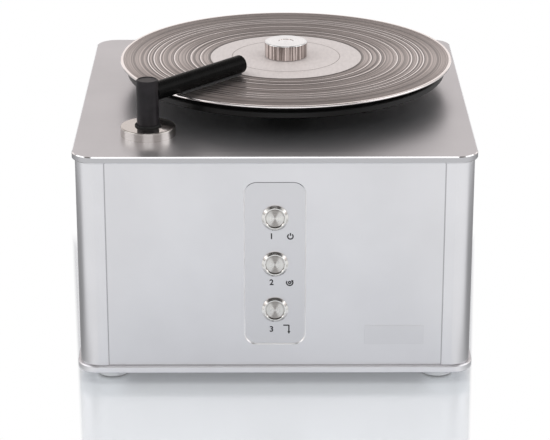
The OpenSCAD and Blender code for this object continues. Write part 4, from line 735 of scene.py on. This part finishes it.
number_height, number_weight = 5 * mm, 0.20 * mm
height_in_font = 0.7
numbers_x = -3.0 * mm
upper_row, middle_row, lower_row = 135.4 * mm, 93.4 * mm, 50.1 * mm
for name, figure, row in (
    ("number_one", "1", upper_row),
    ("number_two", "2", middle_row),
    ("number_three", "3", lower_row),
):
    letter = bpy.data.curves.new(name, "FONT")
    letter.body = figure
    letter.size = number_height / height_in_font
    letter.offset = number_weight
    letter.align_x = "CENTER"
    letter.align_y = "CENTER"
    holder = bpy.data.objects.new(name + "_curve", letter)
    bpy.context.scene.collection.objects.link(holder)
    bpy.context.view_layer.update()
    drawn = holder.evaluated_get(bpy.context.evaluated_depsgraph_get())
    outline = bpy.data.meshes.new_from_object(drawn)
    bpy.data.objects.remove(holder)
    number_bm = bmesh.new()
    number_bm.from_mesh(outline)
    print_mark(name, number_bm, x=numbers_x, z=row)

sign_bm = bmesh.new()
draw_arc(sign_bm, radius=2.3 * mm, start=125, end=415)
draw_bar(sign_bm, centre=(0, 1.9 * mm), size=(stroke, 2.6 * mm))
print_mark("sign_power", sign_bm, x=13.0 * mm, z=upper_row)

sign_bm = bmesh.new()
arrow_r = 2.7 * mm
tip_at = math.radians(62)
arrow_tip = (arrow_r * math.cos(tip_at), arrow_r * math.sin(tip_at))
draw_arc(sign_bm, radius=1.0 * mm, start=0, end=360)
draw_arc(sign_bm, radius=arrow_r, start=150, end=400)
draw_head(sign_bm, tip=arrow_tip, length=2.0 * mm, width=2.4 * mm, turn=42)
print_mark("sign_turning", sign_bm, x=12.5 * mm, z=middle_row)

sign_bm = bmesh.new()
draw_bar(sign_bm, centre=(-1.6 * mm, 4.0 * mm), size=(4.6 * mm, stroke))
draw_bar(sign_bm, centre=(0.9 * mm, 1.0 * mm), size=(stroke, 6.6 * mm))
draw_head(sign_bm, tip=(0.9 * mm, -4.2 * mm), length=2.6 * mm, width=2.6 * mm, turn=180)
print_mark("sign_suction", sign_bm, x=11.0 * mm, z=49.9 * mm)


# Plain plate at the lower right of the front panel: thin satin aluminium with a bevelled edge,
# glued on and left bare.
tag_finish = anodised("tag_satin", tone(case_colour, 0.96), rough=0.33, streak=sheet_streak)
tag_x, tag_z = 102.4 * mm, 45.3 * mm
tag_w, tag_thick, tag_h = 51.4 * mm, 0.35 * mm, 17.4 * mm
tag_bm = bmesh.new()
bmesh.ops.create_cube(tag_bm, size=1)
bmesh.ops.scale(tag_bm, verts=tag_bm.verts, vec=(tag_w, tag_thick, tag_h))
bmesh.ops.translate(tag_bm, verts=tag_bm.verts, vec=(tag_x, panel_y - tag_thick / 2, tag_z))
corner_edges = [e for e in tag_bm.edges if abs((e.verts[0].co - e.verts[1].co).y) > tag_thick / 2]
bmesh.ops.bevel(
    tag_bm, geom=corner_edges, offset=0.6 * mm, affect="EDGES", segments=3, profile=0.5, material=-1
)
front_rim = [e for e in tag_bm.edges if all(v.co.y < panel_y - tag_thick * 0.9 for v in e.verts)]
bmesh.ops.bevel(
    tag_bm, geom=front_rim, offset=0.2 * mm, affect="EDGES", segments=2, profile=0.5, material=-1
)
make_piece("plain_tag", tag_bm, "chassis", tag_finish)


# Suction arm: a hollow post that turns and lifts in a bronze bush, and a tube along the record's
# radius. Both are aluminium, anodised in satin black. The ring at the foot is turned and left in
# a warm grey, the seal inside it is black rubber.
arm_axis = middle_of("arm_post")
ring_metal = turned(
    "ring_metal",
    (0.60, 0.575, 0.55),
    centre=arm_axis,
    rough=0.10,
    pitch=0.25 * mm,
    depth=0.001 * mm,
    gloss_stretch=0.3,
)
dress(ring_metal, "arm_base_ring")
guide_metal = turned("guide_metal", machined_colour, centre=arm_axis, rough=0.3)
dress(guide_metal, "arm_guide")
dress(rubber("seal_rubber", (0.010, 0.010, 0.010), rough=0.7), "post_seal")
dress(rod_steel, "stop_collar")


def black_anodised(name, colour, rough, gleam):
    """Satin black anodising: a dense matt black with a soft sheen and the finest speckle."""
    material, tree, shader = start_finish(name, colour, rough=rough)
    shader.inputs["Specular IOR Level"].default_value = gleam
    shade(tree, shader, marks(tree, 10 * mm, detail=4.0), tone(colour, 0.85), tone(colour, 1.3))
    polish(tree, shader, marks(tree, 1.0 * mm), rough - 0.05, rough + 0.06)
    relief(tree, shader, marks(tree, 0.3 * mm), 0.006 * mm, 0.6)
    return material


post_black = black_anodised("post_black", (0.020, 0.018, 0.020), rough=0.34, gleam=0.16)
dress(post_black, "arm_post")
# The tube has its own darker copy of the black finish: painted shade.
tube_shaded_black = black_anodised("tube_shaded_black", (0.004, 0.004, 0.004), rough=0.26, gleam=0.05)
dress(tube_shaded_black, "arm_tube", "arm_end_cap")


# Velvet lips: two glued strips of short dense pile along the slot under the tube. They wipe the
# record while the slot between them sucks. The pile stands straight down and is a little uneven.
velvet_black, tree, shader = start_finish("velvet_black", (0.018, 0.018, 0.02), rough=0.9)
shader.inputs["Sheen Weight"].default_value = 0.8
shader.inputs["Sheen Roughness"].default_value = 0.4
shade(tree, shader, marks(tree, 0.5 * mm, detail=4.0), (0.010, 0.010, 0.011), (0.035, 0.035, 0.038))
polish(tree, shader, marks(tree, 1 * mm), 0.8, 1.0)
relief(tree, shader, marks(tree, (0.15 * mm, 0.15 * mm, 1.2 * mm), detail=3.0), 0.12 * mm, 0.9)
arm_turn = math.radians(48.355)
tube_middle = Vector((arm_axis.x, arm_axis.y, middle_of("arm_tube").z))
tube_r = 8 * mm
lip_inner, lip_outer, lip_drop = 1.0 * mm, 4.0 * mm, 1.2 * mm
lip_from, lip_to = 39.3 * mm, 115.3 * mm
pile_end = -tube_r - lip_drop
pile_lift, pile_rise, pile_lean = 0.05 * mm, 0.06 * mm, 0.05 * mm
tufts_up, tufts_across = 900, 700
curve_steps = 4
length_steps = 48
for side, name in ((1, "velvet_lip_left"), (-1, "velvet_lip_right")):
    lip_bm = bmesh.new()
    section = [(lip_inner, pile_end), (lip_outer, pile_end)]
    for step in range(curve_steps + 1):
        across = lip_outer + (lip_inner - lip_outer) * step / curve_steps
        section.append((across, -math.sqrt(tube_r**2 - across**2)))
    corners = [lip_bm.verts.new((lip_from, side * y, z)) for y, z in section]
    end_face = lip_bm.faces.new(corners)
    for step in range(length_steps):
        grown = bmesh.ops.extrude_face_region(lip_bm, geom=[end_face])["geom"]
        end_face = next(f for f in grown if isinstance(f, bmesh.types.BMFace))
        forward = ((lip_to - lip_from) / length_steps, 0, 0)
        bmesh.ops.translate(lip_bm, verts=end_face.verts, vec=forward)
    # Each step of the strip leaves a wall across its inside, which goes out again.
    walls = [f for f in lip_bm.faces if abs(f.normal.x) > 0.9]
    inner = [f for f in walls if lip_from + mm < f.calc_center_median().x < lip_to - mm]
    bmesh.ops.delete(lip_bm, geom=inner, context="FACES_ONLY")
    low_edges = [e for e in lip_bm.edges if all(v.co.z < pile_end + 0.01 * mm for v in e.verts)]
    bmesh.ops.bevel(
        lip_bm, geom=low_edges, offset=0.35 * mm, affect="EDGES", segments=2, profile=0.5, material=-1
    )
    # The free ends of the pile stand a little uneven, in tufts of about a millimetre.
    for v in lip_bm.verts:
        if v.co.z < -tube_r - lip_drop * 0.4:
            v.co.z += pile_lift + pile_rise * noise.noise(v.co * tufts_up)
            v.co.y += pile_lean * noise.noise(v.co * tufts_across + Vector((3, 1, 2)))
    bmesh.ops.rotate(lip_bm, verts=lip_bm.verts, matrix=Matrix.Rotation(arm_turn, 3, "Z"))
    bmesh.ops.translate(lip_bm, verts=lip_bm.verts, vec=tube_middle)
    lip = make_piece(name, lip_bm, "arm", velvet_black, smooth=50)
    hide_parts("velvet_lips")


# Platter: a turned disc in satin black, with ribs below and a raised seat. It sits on the shaft,
# and a thin rubber mat lies loose on it.
platter_black = turned(
    "platter_black",
    (0.006, 0.006, 0.006),
    centre=spindle,
    metal=0.0,
    rough=0.3,
    pitch=0.6 * mm,
    depth=0.006 * mm,
)
nodes_of(platter_black)[1].inputs["Specular IOR Level"].default_value = 0.26
dress(platter_black, "platter")
mat_rubber = turned(
    "mat_rubber",
    (0.03, 0.03, 0.031),
    centre=spindle,
    metal=0.0,
    rough=0.66,
    pitch=1.6 * mm,
    depth=0.05 * mm,
)
tree, shader = nodes_of(mat_rubber)
relief(tree, shader, marks(tree, 0.4 * mm), 0.02 * mm, 0.5)
dress(mat_rubber, "platter_mat")


# Record: pressed black vinyl, 301.6 mm across, with a raised bead at the edge, a lead-in, bands of
# fine grooves with smooth gaps between the tracks, a run-out and a raised middle. The gaps are
# real steps in the disc, the grooves themselves are relief.
def lathe(profile, centre, steps):
    """Spins a closed outline of radii and heights round an upright axis."""
    bm = bmesh.new()
    corners = [bm.verts.new((centre.x + r, centre.y, z)) for r, z in profile]
    rim = [bm.edges.new(pair) for pair in zip(corners, corners[1:] + corners[:1])]
    bmesh.ops.spin(
        bm,
        geom=corners + rim,
        cent=(centre.x, centre.y, 0),
        axis=(0, 0, 1),
        angle=math.tau,
        steps=steps,
        use_merge=True,
    )
    return bm


record_low, record_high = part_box("record")
record_r = (record_high.x - record_low.x) / 2
record_mid = (record_low.z + record_high.z) / 2
hole_r = 3.65 * mm
label_r = 69 * mm
label_seat, label_slope = label_r - 3 * mm, label_r - 0.4 * mm
bead_half, groove_half, middle_half = 1.0 * mm, 0.7 * mm, 1.3 * mm
track_gaps = (77.8, 86.6, 101.7, 114.7, 120.3, 125.6)
gap_half, gap_floor, gap_wall = 0.45 * mm, groove_half - 0.06 * mm, 0.1 * mm
# Half of the section, as radii and heights over the record's middle plane, from the hole outwards.
upper = [
    (hole_r, middle_half),
    (label_seat, middle_half),
    (label_slope, groove_half + 0.05 * mm),
    (label_r, groove_half),
]
for gap in track_gaps:
    r = gap * mm
    upper += [(r - gap_half - gap_wall, groove_half), (r - gap_half, gap_floor)]
    upper += [(r + gap_half, gap_floor), (r + gap_half + gap_wall, groove_half)]
upper += [
    (145.0 * mm, groove_half),
    (145.3 * mm, groove_half - 0.05 * mm),
    (record_r - 3.6 * mm, groove_half),
    (record_r - 2.4 * mm, bead_half - 0.05 * mm),
    (record_r - 1.5 * mm, bead_half),
    (record_r - 0.7 * mm, bead_half),
    (record_r - 0.2 * mm, bead_half - 0.25 * mm),
    (record_r, bead_half - 0.6 * mm),
]
outline = [(r, record_mid + z) for r, z in upper] + [(r, record_mid - z) for r, z in reversed(upper)]

# The grooves shine as broad light and dark rings. Painted shade makes a narrow dark line round the
# label and outside each gap, and the gaps and the edge are smooth, with a painted highlight.
groove_dark, groove_light = (0.17, 0.147, 0.139), (0.58, 0.516, 0.495)
shade_line_colour, gap_highlight_colour = (0.05, 0.043, 0.04), (0.97, 0.93, 0.92)
shade_line_share, ripple_share = 0.7, 0.45
groove_stretch, groove_slope, groove_pitch = 0.9, 0.44, 0.4 * mm
gap_fade, shade_line_fade = (0.58 * mm, 0.26 * mm), (0.75 * mm, 0.3 * mm)
upright = (0, 0, 0)
vinyl, tree, shader = start_finish("vinyl", groove_light)
shader.inputs["IOR"].default_value = 1.55
stretch_gloss(tree, shader, spindle, upright, groove_stretch)
without_height = (1, 1, 1e6)
flat_place = own_place(tree, (spindle.x, spindle.y, 0), size=without_height)
radius = vector_math(tree, "LENGTH", flat_place)


def off_ring(ring):
    """How far the record's surface lies inside or outside a ring of that radius."""
    return arithmetic(tree, "ABSOLUTE", arithmetic(tree, "SUBTRACT", radius, ring))


fine = ring_noise(tree, radius, 1100.0, 3.0)
bands = ring_noise(tree, radius, 400.0, 3.0)
ripples = ring_noise(tree, radius, 800.0, 1.0)
broken_bands = between(tree, ripple_share, bands, ripples)
shade(tree, shader, broken_bands, groove_dark, groove_light, low=0.38, high=0.62)
# Painted shade: a dark line round the label and outside each gap.
painted_shade_line = ease(tree, off_ring(label_r + 0.5 * mm), 1.3 * mm, 0.5 * mm)
# The gaps and the edge are smooth, and carry a painted highlight in their colour.
smooth = ease(tree, radius, 147.9 * mm, 148.5 * mm)
for gap in track_gaps:
    smooth = highest(tree, smooth, ease(tree, off_ring(gap * mm), *gap_fade))
    beside_gap = ease(tree, off_ring((gap + 1.1) * mm), *shade_line_fade)
    painted_shade_line = highest(tree, painted_shade_line, beside_gap)
grooved = arithmetic(tree, "SUBTRACT", 1.0, smooth)
lay_over(tree, shader, product(tree, painted_shade_line, shade_line_share), shade_line_colour)
lay_over(tree, shader, smooth, gap_highlight_colour)
worn = wander(tree, bands, 0.29, 0.37)
tree.links.new(between(tree, smooth, 0.88, 0.97), shader.inputs["Metallic"])
tree.links.new(product(tree, grooved, groove_stretch), shader.inputs["Anisotropic"])
tree.links.new(between(tree, smooth, worn, 0.16), shader.inputs["Roughness"])
cut_rings(tree, shader, spindle, upright, groove_pitch, product(tree, grooved, groove_slope))
relief(tree, shader, product(tree, fine, grooved), 0.03 * mm, 0.5)
disc = lathe(outline, spindle, steps=240)
record = make_piece("long_playing_record", disc, "platter", vinyl, smooth=25)
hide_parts("record")

# Paper label in the record's middle: pale uncoated paper, pressed on with the vinyl, with one
# fine ring pressed into it. It is left plain.
label_colour = (0.66, 0.60, 0.585)
label_paper, tree, shader = start_finish("label_paper", label_colour, rough=0.42)
shader.inputs["Specular IOR Level"].default_value = 0.8
pulp = marks(tree, (2.5 * mm, 9 * mm, 9 * mm), detail=6.0)
shade(tree, shader, pulp, tone(label_colour, 0.95), tone(label_colour, 1.03))
polish(tree, shader, marks(tree, 3 * mm), 0.36, 0.48)
relief(tree, shader, marks(tree, (0.8 * mm, 0.3 * mm, 0.8 * mm), detail=4.0), 0.02 * mm, 0.5)
paper_top = record_high.z + 0.03 * mm
paper_low = record_high.z - 0.05 * mm
paper_hole_r = hole_r + 0.1 * mm
ring_r, ring_w, ring_floor = 49 * mm, 0.5 * mm, paper_top - 0.06 * mm
paper_outline = [
    (paper_hole_r, paper_low),
    (paper_hole_r, paper_top),
    (ring_r - ring_w, paper_top),
    (ring_r - ring_w / 3, ring_floor),
    (ring_r + ring_w / 3, ring_floor),
    (ring_r + ring_w, paper_top),
    (label_seat, paper_top),
    (label_slope, record_mid + groove_half + 0.08 * mm),
    (label_slope, record_mid + groove_half + 0.02 * mm),
    (label_seat, paper_low),
]
paper = lathe(paper_outline, spindle, steps=160)
make_piece("record_label", paper, "platter", label_paper, smooth=25)


# Record clamp: a solid turned and polished aluminium weight, dropped over the spindle, with a
# thin rubber pad below. Its side carries painted reflection in light and dark upright streaks.
clamp_metal = turned(
    "clamp_metal",
    (0.90, 0.935, 0.955),
    centre=spindle,
    rough=0.14,
    pitch=0.22 * mm,
    depth=0.002 * mm,
)
tree, shader = nodes_of(clamp_metal)
facing_up = arithmetic(tree, "ABSOLUTE", split(tree, surface_normal(tree))["Z"])
# Painted reflection on the side: upright streaks of light and dark.
reflection_streaks = marks(tree, (1.7 * mm, 1.7 * mm, 90 * mm), centre=spindle)
painted_streak_shade, painted_streak_highlight = (0.24, 0.205, 0.19), (0.85, 0.77, 0.74)
painted_reflection = two_tones(tree, reflection_streaks, painted_streak_shade, painted_streak_highlight, low=0.42, high=0.58)
on_side = ease(tree, facing_up, 0.5, 0.15)
lay_over(tree, shader, on_side, painted_reflection)
dress(clamp_metal, "record_clamp")
dress(hose_rubber, "clamp_pad")
